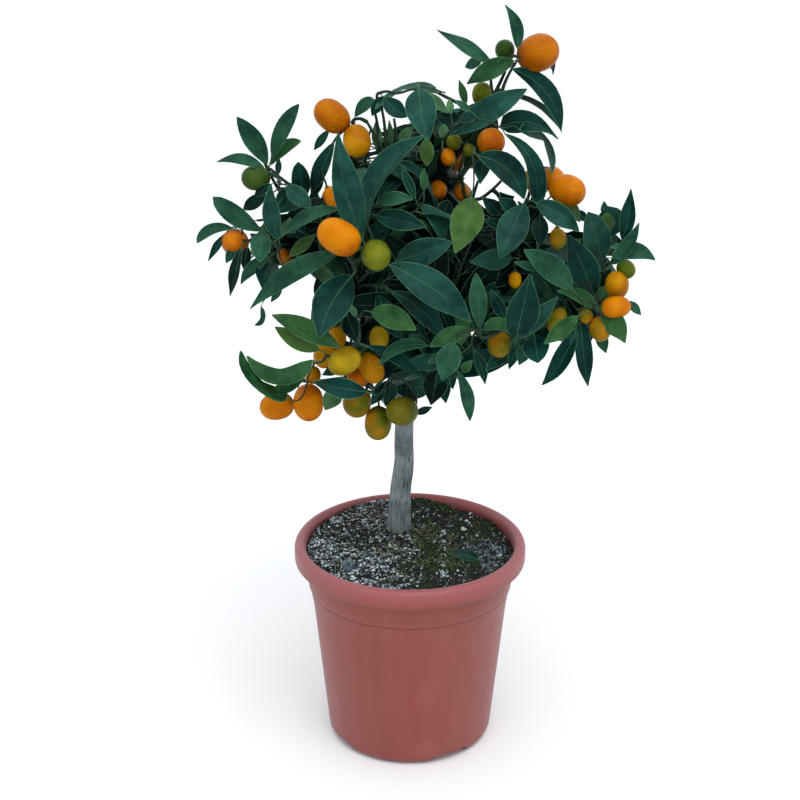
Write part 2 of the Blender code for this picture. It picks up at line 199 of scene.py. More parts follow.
def addPiece(name, shapes, finish, nodes=()):
    # shapes, each its points and then sets of faces, become one smooth piece that rides with the tree
    faceSets = []
    start = 0
    for shape in shapes:
        faceSets += [faces + start for faces in shape[1:] if len(faces)]
        start += len(shape[0])
    points = np.concatenate([shape[0] for shape in shapes])
    corners = np.concatenate([faces.ravel() for faces in faceSets])
    sizes = np.concatenate([np.full(len(faces), faces.shape[1]) for faces in faceSets])
    mesh = bpy.data.meshes.new(name)
    mesh.vertices.add(len(points))
    mesh.vertices.foreach_set("co", points.astype(np.float32).ravel())
    mesh.loops.add(len(corners))
    mesh.loops.foreach_set("vertex_index", corners.astype(np.int32))
    mesh.polygons.add(len(sizes))
    mesh.polygons.foreach_set("loop_start", (np.cumsum(sizes) - sizes).astype(np.int32))
    mesh.update(calc_edges=True)
    mesh.validate()
    mesh.shade_smooth()
    mesh.materials.append(finish)
    piece = bpy.data.objects.new(name, mesh)
    bpy.context.collection.objects.link(piece)
    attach(piece, "root")
    if nodes:
        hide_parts(*nodes)
    print(f"{name}: {int((sizes - 2).sum())} triangles")


def colour(red, green, blue):
    # a screen colour of 0 to 255 as the linear colour that a shader takes
    def linear(part):
        part = part / 255
        return part / 12.92 if part <= 0.04045 else ((part + 0.055) / 1.055) ** 2.4
    return (linear(red), linear(green), linear(blue), 1.0)


def scaled(shade, share):
    return tuple(part * share for part in shade[:3]) + (1.0,)


class Wire:
    # a node's output that can stand in a sum or a product
    def __init__(self, nodes, socket):
        self.nodes = nodes
        self.socket = socket

    def maths(self, operation, first, second):
        return self.nodes.node("Math", {"operation": operation}, {0: first, 1: second})

    def __add__(self, other):
        return self.maths("ADD", self, other)

    def __sub__(self, other):
        return self.maths("SUBTRACT", self, other)

    def __mul__(self, other):
        return self.maths("MULTIPLY", self, other)


class Nodes:
    # the nodes of a material or of the world
    def __init__(self, owner):
        owner.use_nodes = True
        self.tree = owner.node_tree
        self.tree.nodes.clear()

    def node(self, kind, settings=None, inputs=None, output=0):
        # its settings are set first, a ramp's stops among them, then what its sockets hold or are fed by
        made = self.tree.nodes.new("ShaderNode" + kind)
        for key, value in (settings or {}).items():
            if key == "stops":
                for stop, (place, shade) in zip(made.color_ramp.elements, value):
                    stop.position = place
                    stop.color = shade
            else:
                setattr(made, key, value)
        for key, value in (inputs or {}).items():
            self.feed(made.inputs[key], value)
        return Wire(self, made.outputs[output]) if made.outputs else made

    def feed(self, socket, value):
        if isinstance(value, Wire):
            self.tree.links.new(value.socket, socket)
        else:
            socket.default_value = value


class Finish(Nodes):
    # one material: a principled shader, the values that are the same all over it, and what node() adds
    def __init__(self, name, fixed):
        self.material = bpy.data.materials.new(name)
        super().__init__(self.material)
        shader = self.node("BsdfPrincipled", {}, fixed)
        self.node("OutputMaterial", {}, {"Surface": shader})
        self.sockets = shader.socket.node.inputs
        self.place = self.node("TexCoord", output="Object")

    def noise(self, scale, detail=2.0, stretch=None):
        # a cloud pattern between 0 and 1, its features about 1/scale metres across
        place = self.node("Mapping", {}, {"Vector": self.place, "Scale": stretch}) if stretch else self.place
        return self.node("TexNoise", {}, {"Vector": place, "Scale": scale, "Detail": detail})

    def cells(self, scale):
        # the distance to the nearest of scattered points, 0 at the point
        return self.node("TexVoronoi", {}, {"Vector": self.place, "Scale": scale})

    def height(self):
        # how high the place is, in metres
        return self.node("SeparateXYZ", {}, {0: self.place}, output=2)

    def between(self, value, low, high, start=0.0, end=1.0):
        # value from low to high becomes start to end
        limits = {"Value": value, "From Min": low, "From Max": high, "To Min": start, "To Max": end}
        return self.node("MapRange", {}, limits)

    def mix(self, share, first, second):
        return self.node("Mix", {"data_type": "RGBA"}, {0: share, 6: first, 7: second}, output=2)

    def bump(self, height, strength, distance):
        inputs = {"Height": height, "Strength": strength, "Distance": distance}
        self.feed(self.sockets["Normal"], self.node("Bump", {}, inputs))

    def paint(self, shade):
        self.shade = shade
        self.feed(self.sockets["Base Color"], shade)

    def blend(self, value, low, high, dark, light):
        # dark up to where value is low, and light from where it is high
        self.paint(self.mix(self.between(value, low, high), dark, light))

    def cover(self, value, start, full, share, shade):
        # lays a colour over the paint so far, from none where value is start to share where it is full
        self.paint(self.mix(self.between(value, start, full, 0.0, share), self.shade, shade))

    def dull(self, value):
        self.feed(self.sockets["Roughness"], value)


# The pot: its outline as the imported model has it, turned about the upright axis.
pot = {
    "sides": 168,
    "baseRadius": 0.075,
    "undersideRadius": 0.067,
    "edgeHeight": 0.010,
    "slope": math.tan(math.radians(5.8)),
    "wall": 0.0022,
    "floor": 0.0028,
    "flareFoot": 0.1275,
    "grooveFoot": 0.149,
    "grooveStep": 0.0015,
    "rimMiddle": (0.09975, 0.186),
    "rimHalf": (0.00525, 0.006),
    "notchTurn": 30.5,
    "notchRadius": 0.070,
    "notchHalf": 0.0175,
    "notchTopHalf": 0.014,
    "notchHeight": 0.0078,
    "notchShoulder": 0.0047,
    "notchStart": 0.058,
    "slotHalf": 0.007,
    "slotFoot": 0.0038,
    "slotTop": 0.0072,
    "slotDepth": 0.0024,
    # the groove and the collar: where on the wall's slope, how far out from it, and the height
    "collar": [(0.1490, 0.0014, 0.1490), (0.1491, 0.0006, 0.1493), (0.1496, 0.0006, 0.1498),
               (0.1502, 0.0018, 0.1501), (0.1502, 0.0022, 0.1508), (0.1570, 0.0022, 0.1570),
               (0.1650, 0.0022, 0.1650), (0.1725, 0.0022, 0.1725), (0.1745, 0.0026, 0.1742)],
    # radius and height round the rim's foot, and down inside its mouth
    "lip": [(0.0985, 0.1745), (0.1020, 0.1746), (0.1036, 0.1751), (0.1047, 0.1763), (0.1050, 0.1780),
            (0.1051, 0.1820)],
    "mouth": [(0.0944, 0.182), (0.0936, 0.177), (0.0905, 0.168)],
}


def wallRadius(height):
    # the base radius, widened by the wall's slope
    return pot["baseRadius"] + pot["slope"] * height


def edgeRadius(height):
    # a quarter ellipse from the flat underside up to the wall
    reach = wallRadius(pot["edgeHeight"]) - pot["undersideRadius"]
    share = np.clip(height / pot["edgeHeight"], 0, 1)
    return pot["undersideRadius"] + reach * np.sqrt(1 - (1 - share) ** 2)


def potFinish():
    # terracotta plastic in soft clouds, with streaks up the wall, a fine speckle and pale scuffs
    finish = Finish("pot_plastic", {"Specular IOR Level": 0.42, "Sheen Weight": 0.09, "Sheen Roughness": 0.45,
                                    "Sheen Tint": (0.62, 0.78, 1.0, 1.0)})
    clouds = finish.noise(11, 3)
    streaks = finish.noise(60, 2, (1, 1, 0.06))
    speckle = finish.noise(900)
    scuffs = finish.between(finish.noise(38, 4), 0.60, 0.78)
    finish.blend(clouds, 0.0, 1.0, colour(117, 50, 40), colour(132, 60, 49))
    finish.cover(streaks, 0.35, 0.75, 0.30, colour(140, 74, 66))
    finish.cover(scuffs, 0.0, 1.0, 0.20, colour(160, 108, 102))
    finish.cover(speckle, 0.55, 0.80, 0.25, colour(98, 44, 38))
    # the rim is painted a paler bluish pink, more towards its top: a painted sheen where it faces the sky
    finish.cover(finish.height(), 0.177, 0.1915, 0.65, colour(146, 82, 88))
    finish.dull(finish.between(clouds + scuffs * 0.4, 0.2, 1.2, 0.44, 0.58))
    finish.bump(speckle * 0.6 + clouds * 1.2, 0.16, 0.0006)
    return finish.material


def potOutline():
    # rows of radius and height from the wall's foot, over the rim and down to the floor inside
    rows = [(edgeRadius(0.0088), 0.0088), (wallRadius(0.010), 0.010)]
    rows += [(wallRadius(height), height) for height in np.linspace(0.016, pot["flareFoot"], 12)]
    for share in (0.25, 0.5, 0.75, 0.97):
        height = pot["flareFoot"] + (pot["grooveFoot"] - pot["flareFoot"]) * share
        rows.append((wallRadius(height) + pot["grooveStep"] * share ** 2, height))
    rows += [(wallRadius(place) + out, height) for place, out, height in pot["collar"]]
    rows += pot["lip"]
    for turn in np.radians(np.linspace(0, 180, 17)):
        rows.append((pot["rimMiddle"][0] + pot["rimHalf"][0] * math.cos(turn),
                     pot["rimMiddle"][1] + pot["rimHalf"][1] * math.sin(turn)))
    rows += pot["mouth"]
    rows += [(wallRadius(height) - pot["wall"], height) for height in (0.15, 0.08, 0.012)]
    rows += [(radius, pot["floor"]) for radius in (0.066, 0.03)]
    return np.array(rows).T[..., None]


def makePot():
    # columns evenly round the pot, with close ones where a notch or its slot begins and ends
    angles = list(np.arange(pot["sides"]) / pot["sides"] * math.tau)
    notches = [math.radians(pot["notchTurn"] - 90 + 90 * quarter) for quarter in range(4)]
    for notch in notches:
        for half in (pot["notchHalf"], pot["notchHalf"] - 0.0006, pot["notchTopHalf"],
                     pot["slotHalf"], pot["slotHalf"] - 0.0005):
            turn = math.asin(half / pot["notchRadius"])
            angles += [(notch + turn) % math.tau, (notch - turn) % math.tau]
    angles = np.sort(np.array(angles))
    angles = angles[np.append(True, np.diff(angles) > 1e-4)]
    away = np.min([np.abs(np.sin((angles - notch) / 2)) * 2 for notch in notches], axis=0)
    away = away * pot["notchRadius"]
    # the bottom edge is plain, or cut square to the underside in a notch, with a slot set back in it
    plainHeight = np.array([0.0, 0.0, 0.0, 0.0033, 0.0050, 0.0068, pot["notchHeight"]])
    plainRadius = np.append([pot["notchStart"], 0.064], edgeRadius(plainHeight[2:]))
    top = np.interp(away, [pot["notchTopHalf"], pot["notchHalf"]], [pot["notchHeight"], pot["notchShoulder"]])
    recess = np.where(away < pot["slotHalf"] - 0.0002, pot["slotDepth"], 0.0)
    start = np.full(len(angles), pot["notchStart"])
    cutRadius = np.stack([start, start, start - recess, start - recess, start, start, edgeRadius(top)])
    slotFoot, slotTop = pot["slotFoot"] + 0 * top, np.minimum(pot["slotTop"], top)
    cutHeight = np.minimum(np.stack([0 * top, slotFoot, slotFoot, slotTop, slotTop, top, top]), top)
    inNotch = away < pot["notchHalf"] - 0.0003
    lowRadius = np.where(inNotch, cutRadius, plainRadius[:, None])
    lowHeight = np.where(inNotch, cutHeight, plainHeight[:, None])
    upRadius, upHeight = potOutline()
    ones = np.ones((1, len(angles)))
    radius = np.concatenate([0.02 * ones, 0.042 * ones, lowRadius, upRadius * ones])
    height = np.concatenate([0 * ones, 0 * ones, lowHeight, upHeight * ones])
    points = np.stack([radius * np.cos(angles), radius * np.sin(angles), height], axis=-1).reshape(-1, 3)
    points = np.concatenate([points, [[0, 0, 0], [0, 0, pot["floor"]]]])
    addPiece("pot_shell", [(points, *roundFaces(*radius.shape))], potFinish(), ["pot"])


makePot()
print("pot made")

# The soil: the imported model's surface with crumbs on it, then grit, moss and litter laid over it.
soil = {
    "level": 0.183,
    "mound": 0.009,
    "moundSpread": 0.045,
    "moundCentre": (-0.015, 0.065),
    "tilt": (-0.0126, 0.018),
    "crest": 0.1905,
    "seat": 0.1884,
    "trunk": (-0.0100, 0.0290),
    "radius": 0.0938,
    "foot": 0.172,
    "rows": 84,
    "columns": 220,
    "crumb": 0.0009,
}


def soilHeight(x, y):
    # the level, tilted, with a mound behind the trunk, flat where the trunk stands, and crumbly all over
    fromMound = (x - soil["moundCentre"][0]) ** 2 + (y - soil["moundCentre"][1]) ** 2
    height = soil["level"] + soil["mound"] * np.exp(-fromMound / soil["moundSpread"] ** 2)
    height = height + soil["tilt"][0] * x + soil["tilt"][1] * y
    place = np.stack([x, y, 0 * x], axis=-1)
    height = height + 0.0011 * ripples(place, 60, 3, 2)
    height = np.minimum(height, soil["crest"])
    fromTrunk = np.hypot(x - soil["trunk"][0], y - soil["trunk"][1])
    height = soil["seat"] + (height - soil["seat"]) * smooth((fromTrunk - 0.012) / 0.022)
    return height + soil["crumb"] * ripples(place, 520, 9, 3) * smooth((fromTrunk - 0.009) / 0.004)


def onSoil(acrossPixel, downPixel, lift):
    # where the rays through photo pixels meet the soil's level, lifted off its surface there
    far = fromPhoto(acrossPixel, downPixel, 0.0)
    share = (soil["level"] - eye[2]) / (far[:, 2] - eye[2])
    place = eye + (far - eye) * share[:, None]
    place[:, 2] = soilHeight(place[:, 0], place[:, 1]) + lift
    return place


def patch(x, y, scale, seed, low, high):
    # blotches between 0 and 1
    return smooth((ripples(np.stack([x, y, 0 * x], axis=-1), scale, seed, 2) - low) / (high - low))


def gritFinish(name, dark, light, rough=0.85):
    finish = Finish(name, {"Specular IOR Level": 0.3, "Roughness": rough})
    finish.blend(finish.noise(420), 0.3, 0.7, colour(*dark), colour(*light))
    finish.bump(finish.noise(1800), 0.4, 0.0004)
    return finish.material


def soilFinish():
    # dark earth with pale mineral grains and a green tinge in places
    finish = Finish("soil_earth", {"Specular IOR Level": 0.25})
    fine = finish.noise(700, 3)
    finish.blend(finish.noise(90, 4), 0.35, 0.65, colour(6, 9, 10), colour(26, 28, 26))
    finish.cover(fine, 0.62, 0.74, 0.7, colour(104, 112, 110))
    finish.cover(finish.noise(160), 0.60, 0.72, 0.5, colour(40, 52, 26))
    finish.dull(finish.between(fine, 0.3, 0.7, 0.75, 0.95))
    finish.bump(fine + finish.cells(900) * 0.8, 0.7, 0.0012)
    return finish.material


def makeSoil():
    # rings from the middle out, the last ones sunk a little, and a skirt that goes down inside the pot
    rows, columns = soil["rows"], soil["columns"]
    radius = soil["radius"] * np.linspace(0.012, 1, rows)[:, None] ** 0.9
    turn = np.linspace(0, math.tau, columns, endpoint=False)[None]
    x, y = radius * np.cos(turn), radius * np.sin(turn)
    z = soilHeight(x, y) - smooth((radius - 0.086) / 0.008) * 0.0012
    skirt = np.stack([x[-1], y[-1], 0 * x[-1] + soil["foot"]], axis=-1)
    ends = [[0, 0, float(soilHeight(np.zeros(1), np.zeros(1))[0])], [0, 0, soil["foot"]]]
    points = np.concatenate([np.stack([x, y, z], axis=-1).reshape(-1, 3), skirt, ends])
    quads = gridFaces(rows + 1, columns, True)[:, ::-1]
    size = (rows + 1) * columns
    top = fanFaces(size, 0, columns, True)
    below = fanFaces(size + 1, rows * columns, columns, False)
    addPiece("soil_surface", [(points, quads, top, below)], soilFinish(), ["soil"])


litter = {
    "reach": 0.0925,
    "clearOfTrunk": 0.0125,
    "tries": 14,
    "paleGrit": 5600,
    "column": 260,
    "blueGrit": 1500,
    "stones": 8,
    "crumbs": 3600,
    "moss": 3000,
    "strands": 560,
    "bark": 420,
    # photo pixels, across and down: the column's middle and run, two pale chips, and the stones' reach
    "columnPixels": (443.5, (531, 576)),
    "chipPixels": ((466, 463), (523, 531)),
    "stonePixels": ((344, 356), (562, 571)),
}


def scatter(count, seed, likely):
    # random places on the soil, kept as often as likely(x, y) says
    chance = np.random.default_rng(seed)
    tries = count * litter["tries"]
    radius = litter["reach"] * np.sqrt(chance.uniform(0, 1, tries))
    turn = chance.uniform(0, math.tau, tries)
    x, y = radius * np.cos(turn), radius * np.sin(turn)
    keep = chance.uniform(0, 1, tries) < likely(x, y)
    keep &= np.hypot(x - soil["trunk"][0], y - soil["trunk"][1]) > litter["clearOfTrunk"]
    x, y = x[keep][:count], y[keep][:count]
    return np.stack([x, y, soilHeight(x, y)], axis=-1)


def crumbShapes(places, sizes, seed, flat=0.75):
    # a block of eight jittered corners for each place, turned at random
    chance = np.random.default_rng(seed)
    corners = np.array([[-1, -1, -1], [1, -1, -1], [1, 1, -1], [-1, 1, -1],
                        [-1, -1, 1], [1, -1, 1], [1, 1, 1], [-1, 1, 1]], float) * 0.5
    block = np.array([[0, 3, 2, 1], [4, 5, 6, 7], [0, 1, 5, 4], [1, 2, 6, 5], [2, 3, 7, 6], [3, 0, 4, 7]])
    count = len(places)
    shapes = corners * chance.uniform(0.45, 1.0, (count, 8, 3))
    first = unit(chance.normal(size=(count, 3)))
    second = unit(np.cross(first, chance.normal(size=(count, 3))))
    turn = np.stack([first, second, np.cross(first, second)], axis=1)
    shapes = np.einsum("nij,njk->nik", shapes * chance.uniform(0.7, 1.3, (count, 1, 3)), turn)
    shapes = shapes * np.asarray(sizes)[:, None, None] * [1, 1, flat]
    return (places[:, None] + shapes).reshape(-1, 3), repeated(block, count, 8)


def makeLitter():
    chance = np.random.default_rng(17)

    # how likely each kind is at a place
    def left(x, y):
        return 0.11 + 0.89 * smooth((0.022 - x) / 0.045) * (0.15 + 0.85 * patch(x, y, 210, 21, -0.6, 0.4))

    def right(x, y):
        return 0.04 + smooth((x + 0.022) / 0.04) * (0.10 + 0.90 * patch(x, y, 120, 22, -0.1, 0.6))

    def near(x, y, middleX, middleY, spread):
        return np.exp(-((x - middleX) ** 2 + (y - middleY) ** 2) / spread ** 2)

    def rightEdge(x, y):
        return 0.22 * left(x, y) + near(x, y, 0.070, -0.012, 0.018)

    def strandy(x, y):
        return 0.02 + near(x, y, 0.014, -0.002, 0.036) * patch(x, y, 150, 23, -0.4, 0.6)

    def behindLeft(x, y):
        return 0.12 + 0.9 * near(x, y, -0.036, 0.055, 0.022)

    def anywhere(x, y):
        return 0.5 + 0 * x

    def crumbs(count, seed, likely, mean, least, lift=0.0, flat=0.75):
        # scattered crumbs, most of them small
        places = scatter(count, seed, likely) + [0, 0, lift]
        return crumbShapes(places, chance.gamma(3, mean, len(places)) + least, seed + 1, flat)

    def addLitter(name, shapes, *look):
        addPiece(name, shapes, gritFinish(*look))

    # pale grit, with a column of it in front of the trunk and two chips
    pale = [crumbs(litter["paleGrit"], 31, left, 0.00025, 0.00038)]
    count = litter["column"]
    middle, run = litter["columnPixels"]
    column = onSoil(middle + chance.normal(0, 1.6, count), chance.uniform(*run, count), 0.0004)
    pale.append(crumbShapes(column, chance.uniform(0.0008, 0.0017, count), 33))
    pale.append(crumbShapes(onSoil(*litter["chipPixels"], 0.001), [0.0042, 0.0050], 44, 0.5))
    addLitter("pale_grit", pale, "grit_pale", (112, 130, 142), (238, 247, 250))
    blue = [crumbs(litter["blueGrit"], 34, rightEdge, 0.0004, 0.0005)]
    count = litter["stones"]
    stones = onSoil(*(chance.uniform(*run, count) for run in litter["stonePixels"]), 0.0012)
    blue.append(crumbShapes(stones, chance.uniform(0.0045, 0.0065, count), 45, 0.6))
    addLitter("blue_grit", blue, "grit_blue", (54, 68, 80), (112, 128, 140))
    earth = [crumbs(litter["crumbs"], 36, anywhere, 0.0005, 0.0006)]
    addLitter("earth_crumbs", earth, "crumb_earth", (6, 9, 10), (28, 30, 28))
    moss = [crumbs(litter["moss"], 38, right, 0.00042, 0.0006, 0.0003, 0.9)]
    addLitter("moss_tufts", moss, "moss_green", (9, 22, 10), (42, 58, 25), 0.95)
    # pale strands that stand and lean in the moss
    foot = scatter(litter["strands"], 46, strandy)
    lean = unit(chance.normal(0, 1, (len(foot), 3)) * [1, 1, 0.25] + [0, 0, 0.55])
    reach = chance.uniform(0.0028, 0.0075, (len(foot), 1))
    bend = foot + lean * reach * 0.55 + upward * 0.0008
    strands = np.stack([foot, bend, foot + lean * reach], axis=1)
    strandShapes = tubes(strands, np.full((len(foot), 3), 0.00022), 4)
    addLitter("moss_strands", [strandShapes], "strand_pale", (54, 70, 36), (132, 142, 96))
    places = scatter(litter["bark"], 40, behindLeft) + [0, 0, 0.0004]
    chips = crumbShapes(places, chance.uniform(0.0012, 0.0034, len(places)), 41, 0.6)
    addLitter("bark_chips", [chips], "chip_brown", (48, 38, 38), (98, 78, 78))


makeSoil()
makeLitter()
print("soil and litter made")

# The limbs: the trunk's curve and the boughs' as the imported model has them, run on into the leaves.
trunk = {
    "bends": [(-0.0100, 0.0290, 0.1893), (-0.0105, 0.0290, 0.2250), (-0.0055, 0.0280, 0.2620),
              (-0.0035, 0.0260, 0.3350)],
    "footDiameter": 0.0205,
    "topDiameter": 0.0150,
    "flareDiameter": 0.0222,
    "flareLength": 0.016,
    "lobes": 4,
    "sides": 64,
    "rows": 150,
    "relief": 0.00050,
    "bend": 0.0016,
    "bendHeight": 0.256,
    "bendReach": 0.018,
    # old leaf scars: height above the foot, angle and size
    "scars": [(0.034, 4.4, 0.006), (0.058, 5.6, 0.005), (0.083, 3.9, 0.006), (0.104, 5.0, 0.005)],
}
# the middle and half the size of each mass of leaves
masses = {
    "crown_tip": ((0.077, 0.0, 0.617), (0.052, 0.046, 0.047)),
    "crown_top": ((0.026, 0.015, 0.556), (0.058, 0.056, 0.046)),
    "upper_left": ((-0.052, -0.020, 0.558), (0.040, 0.046, 0.046)),
    "left_upper": ((-0.122, -0.005, 0.542), (0.038, 0.044, 0.046)),
    "left": ((-0.134, -0.020, 0.474), (0.044, 0.050, 0.044)),
    "inner_left": ((-0.078, 0.015, 0.479), (0.046, 0.056, 0.054)),
    "front_left": ((-0.048, -0.080, 0.490), (0.056, 0.052, 0.062)),
    "low_left": ((-0.046, -0.055, 0.385), (0.056, 0.052, 0.048)),
    "low_left_tip": ((-0.104, -0.068, 0.374), (0.040, 0.038, 0.038)),
    "front": ((0.038, -0.068, 0.474), (0.058, 0.054, 0.062)),
    "low_front": ((0.042, -0.045, 0.388), (0.054, 0.052, 0.042)),
    "right_upper": ((0.104, 0.0, 0.534), (0.040, 0.048, 0.042)),
    "inner_right": ((0.095, -0.012, 0.466), (0.048, 0.058, 0.052)),
    "right": ((0.158, -0.015, 0.470), (0.044, 0.050, 0.047)),
    "low_right": ((0.136, -0.028, 0.404), (0.052, 0.050, 0.038)),
    "back_top": ((0.034, 0.088, 0.520), (0.060, 0.056, 0.054)),
    "back_left": ((-0.068, 0.090, 0.460), (0.060, 0.062, 0.060)),
    "back_right": ((0.113, 0.086, 0.458), (0.058, 0.062, 0.060)),
    "back_low": ((0.020, 0.100, 0.400), (0.062, 0.068, 0.050)),
}
# parent, place along it, diameter, mass it ends in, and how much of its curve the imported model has
boughs = {
    "leader": ("trunk", 1.00, 0.0125, "crown_top", 52 / 60),
    "left": ("trunk", 0.87, 0.0095, "inner_left", 47 / 60),
    "right": ("trunk", 0.91, 0.0100, "inner_right", 46 / 60),
    "front": ("trunk", 0.80, 0.0080, "front", 48 / 60),
    "back": ("trunk", 0.84, 0.0085, "back_low", 41 / 60),
    "front_left": ("left", 0.42, 0.0060, "front_left", 45 / 60),
    "low_left": ("trunk", 0.74, 0.0058, "low_left", 40 / 60),
    "low_front": ("front", 0.30, 0.0050, "low_front", 38 / 60),
    "low_right": ("right", 0.40, 0.0060, "low_right", 40 / 60),
    "upper_left": ("leader", 0.42, 0.0062, "upper_left", 46 / 60),
    "back_top": ("leader", 0.58, 0.0062, "back_top", 34 / 60),
    "back_left": ("back", 0.34, 0.0060, "back_left", 40 / 60),
    "back_right": ("back", 0.48, 0.0060, "back_right", 45 / 60),
}
# branches inside the leaves, to the masses that no bough reaches; the place is along the whole curve
branches = {
    "crown_tip": ("leader", 0.80, 0.0052, "crown_tip"),
    "left_upper": ("left", 0.70, 0.0046, "left_upper"),
    "left_tip": ("left", 0.90, 0.0044, "left"),
    "low_left_tip": ("low_left", 0.80, 0.0034, "low_left_tip"),
    "right_upper": ("right", 0.74, 0.0046, "right_upper"),
    "right_tip": ("right", 0.90, 0.0046, "right"),
}
limbs = boughs | branches
boughShape = {
    "taper": 0.50,
    "leaveAlong": 0.45,
    "arriveRise": 0.35,
    "handle": 0.35,
    "rows": 34,
    "sides": 14,
    "relief": 0.075,
}
curves = {"trunk": trunk["bends"]}


def bezier(control, share):
    # the cubic curve through four points: cubes and squares of the share and of its rest
    first, second, third, last = (np.asarray(point, float) for point in control)
    share = np.asarray(share, float)[..., None]
    rest = 1 - share
    ends = rest ** 3 * first + 3 * rest ** 2 * share * second
    return ends + 3 * rest * share ** 2 * third + share ** 3 * last


def bezierWay(control, share):
    # the curve's direction: its derivative over its length
    first, second, third, last = (np.asarray(point, float) for point in control)
    share = np.asarray(share, float)[..., None]
    rest = 1 - share
    way = rest ** 2 * (second - first) + 2 * rest * share * (third - second) + share ** 2 * (last - third)
    return unit(way)


def barkFinish():
    # grey bark: clouds of two greys, dark fissures that run up the limb, and pale flecks
    finish = Finish("bark_grey", {"Specular IOR Level": 0.2})
    light, crack = colour(129, 140, 143), colour(34, 38, 37)
    lines = finish.noise(900, 3, (1, 1, 0.09))
    fine = finish.noise(1300, 2, (1, 1, 0.3))
    cracks = finish.between(lines, 0.46, 0.36) * finish.between(finish.noise(130), 0.44, 0.58)
    finish.blend(finish.noise(70, 3), 0.35, 0.65, colour(96, 106, 108), light)
    finish.cover(fine, 0.55, 0.8, 0.5, scaled(light, 1.3))
    finish.cover(cracks, 0.0, 1.0, 0.85, crack)
    finish.cover(lines, 0.6, 0.4, 0.28, crack)
    # the wood inside the crown is painted nearly black: painted shade under the leaves, over the young wood's
    # own darker colour
    finish.cover(finish.height(), 0.322, 0.362, 1.0, colour(24, 31, 26))
    finish.dull(finish.between(lines, 0.3, 0.7, 0.92, 0.78))
    finish.bump(lines * 1.2 + fine * 0.5 - cracks * 0.6, 0.5, 0.0010)
    return finish.material


def curveFor(name):
    # a limb leaves its parent upwards and outwards, and bends into the middle of its mass
    parent, share, _, mass = limbs[name][:4]
    if name in boughs:
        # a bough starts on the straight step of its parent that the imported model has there
        steps, end = (10, 1.0) if parent == "trunk" else (4, boughs[parent][4])
        path = bezier(curves[parent], np.linspace(0, end, steps + 1))
        index = min(int(share * steps), steps - 1)
        start = path[index] + (path[index + 1] - path[index]) * (share * steps - index)
        along = unit(path[index + 1] - path[index])
    else:
        start, along = bezier(curves[parent], share), bezierWay(curves[parent], share)
    finish = np.array(masses[mass][0])
    span = np.linalg.norm(finish - start)
    outward = (finish - start) / span
    leave = along if share == 1.0 else unit(along * boughShape["leaveAlong"] + outward)
    arrive = unit(outward + upward * boughShape["arriveRise"])
    handle = span * boughShape["handle"]
    return (start, start + leave * handle, finish - arrive * handle, finish)


def trunkRadius(path):
    # an even taper by height, swollen at the foot
    rise = path[..., 2] - trunk["bends"][0][2]
    share = rise / (trunk["bends"][3][2] - trunk["bends"][0][2])
    width = trunk["footDiameter"] + (trunk["topDiameter"] - trunk["footDiameter"]) * share
    flare = (trunk["flareDiameter"] - trunk["footDiameter"]) * np.exp(-rise / trunk["flareLength"])
    return (width + flare) / 2


def aroundAt(turn, radius, height):
    # points on a cylinder, where the noise that makes a limb uneven is read
    return np.stack([radius * np.cos(turn) + 0 * height, radius * np.sin(turn) + 0 * height,
                     height + 0 * turn], axis=-1)


def makeLimbs():
    path = bezier(trunk["bends"], np.linspace(0, 1, trunk["rows"]))
    path[0, 2] -= 0.0012
    path[:, 0] += trunk["bend"] * np.exp(-((path[:, 2] - trunk["bendHeight"]) / trunk["bendReach"]) ** 2)
    turn = np.linspace(0, math.tau, trunk["sides"], endpoint=False)[None]
    rise = (path[:, 2] - path[0, 2])[:, None]
    # ridges that wander up the trunk, root lobes at the foot, and a few old leaf scars
    relief = trunk["relief"] * ripples(aroundAt(turn, 4.5, rise * 26), 1.0, 5, 4)
    swell = 1 + 0.05 * np.exp(-rise / 0.010) * np.cos(trunk["lobes"] * turn)
    scars = 0 * relief
    for height, side, size in trunk["scars"]:
        gap = np.angle(np.exp(1j * (turn - side)))
        scars = scars + 0.0009 * np.exp(-((rise - height) / size) ** 2 - (gap / 0.5) ** 2)
    radii = trunkRadius(path)[:, None] * swell + relief + scars
    shapes = [tubes(path[None], radii[None], trunk["sides"])]
    share = np.linspace(0, 1, boughShape["rows"])
    turn = np.linspace(0, math.tau, boughShape["sides"], endpoint=False)[None]
    for number, (name, row) in enumerate(limbs.items()):
        curves[name] = curveFor(name)
        path = bezier(curves[name], share)
        collar = ([0, 0.2, 1], [1.16, 1, 1]) if name == "leader" else ([0, 0.05, 1], [1.22, 1, 1])
        width = row[2] * (1 - (1 - boughShape["taper"]) * share) * np.interp(share, *collar)
        uneven = ripples(aroundAt(turn, 2.5, share[:, None] * 14 + number * 9), 1.0, 6, 3)
        radii = width[:, None] / 2 * (1 + boughShape["relief"] * uneven)
        shapes.append(tubes(path[None], radii[None], boughShape["sides"]))
    nodes = ["trunk"] + ["bough_" + name for name in boughs]
    addPiece("trunk_and_boughs", shapes, barkFinish(), nodes)


makeLimbs()
print("trunk and boughs made")

# The crown's look in the photo: the outline of its dense part, and holes in it where the sky shows.
crownOutline = [
    (352, 160), (372, 128), (398, 104), (418, 96), (440, 100), (455, 116), (478, 100), (520, 98),
    (542, 112), (550, 130), (546, 160), (562, 204), (588, 222), (606, 218), (628, 238), (638, 262),
    (626, 292), (624, 320), (604, 338), (590, 350), (560, 346), (542, 350), (512, 357), (492, 364),
    (478, 372), (464, 390), (440, 402), (412, 400), (398, 412), (372, 410), (346, 396), (324, 388),
    (310, 376), (316, 360), (322, 346), (316, 330), (320, 300), (317, 284), (286, 275), (262, 276),
    (248, 266), (240, 246), (246, 222), (268, 206), (300, 196), (330, 192),
]
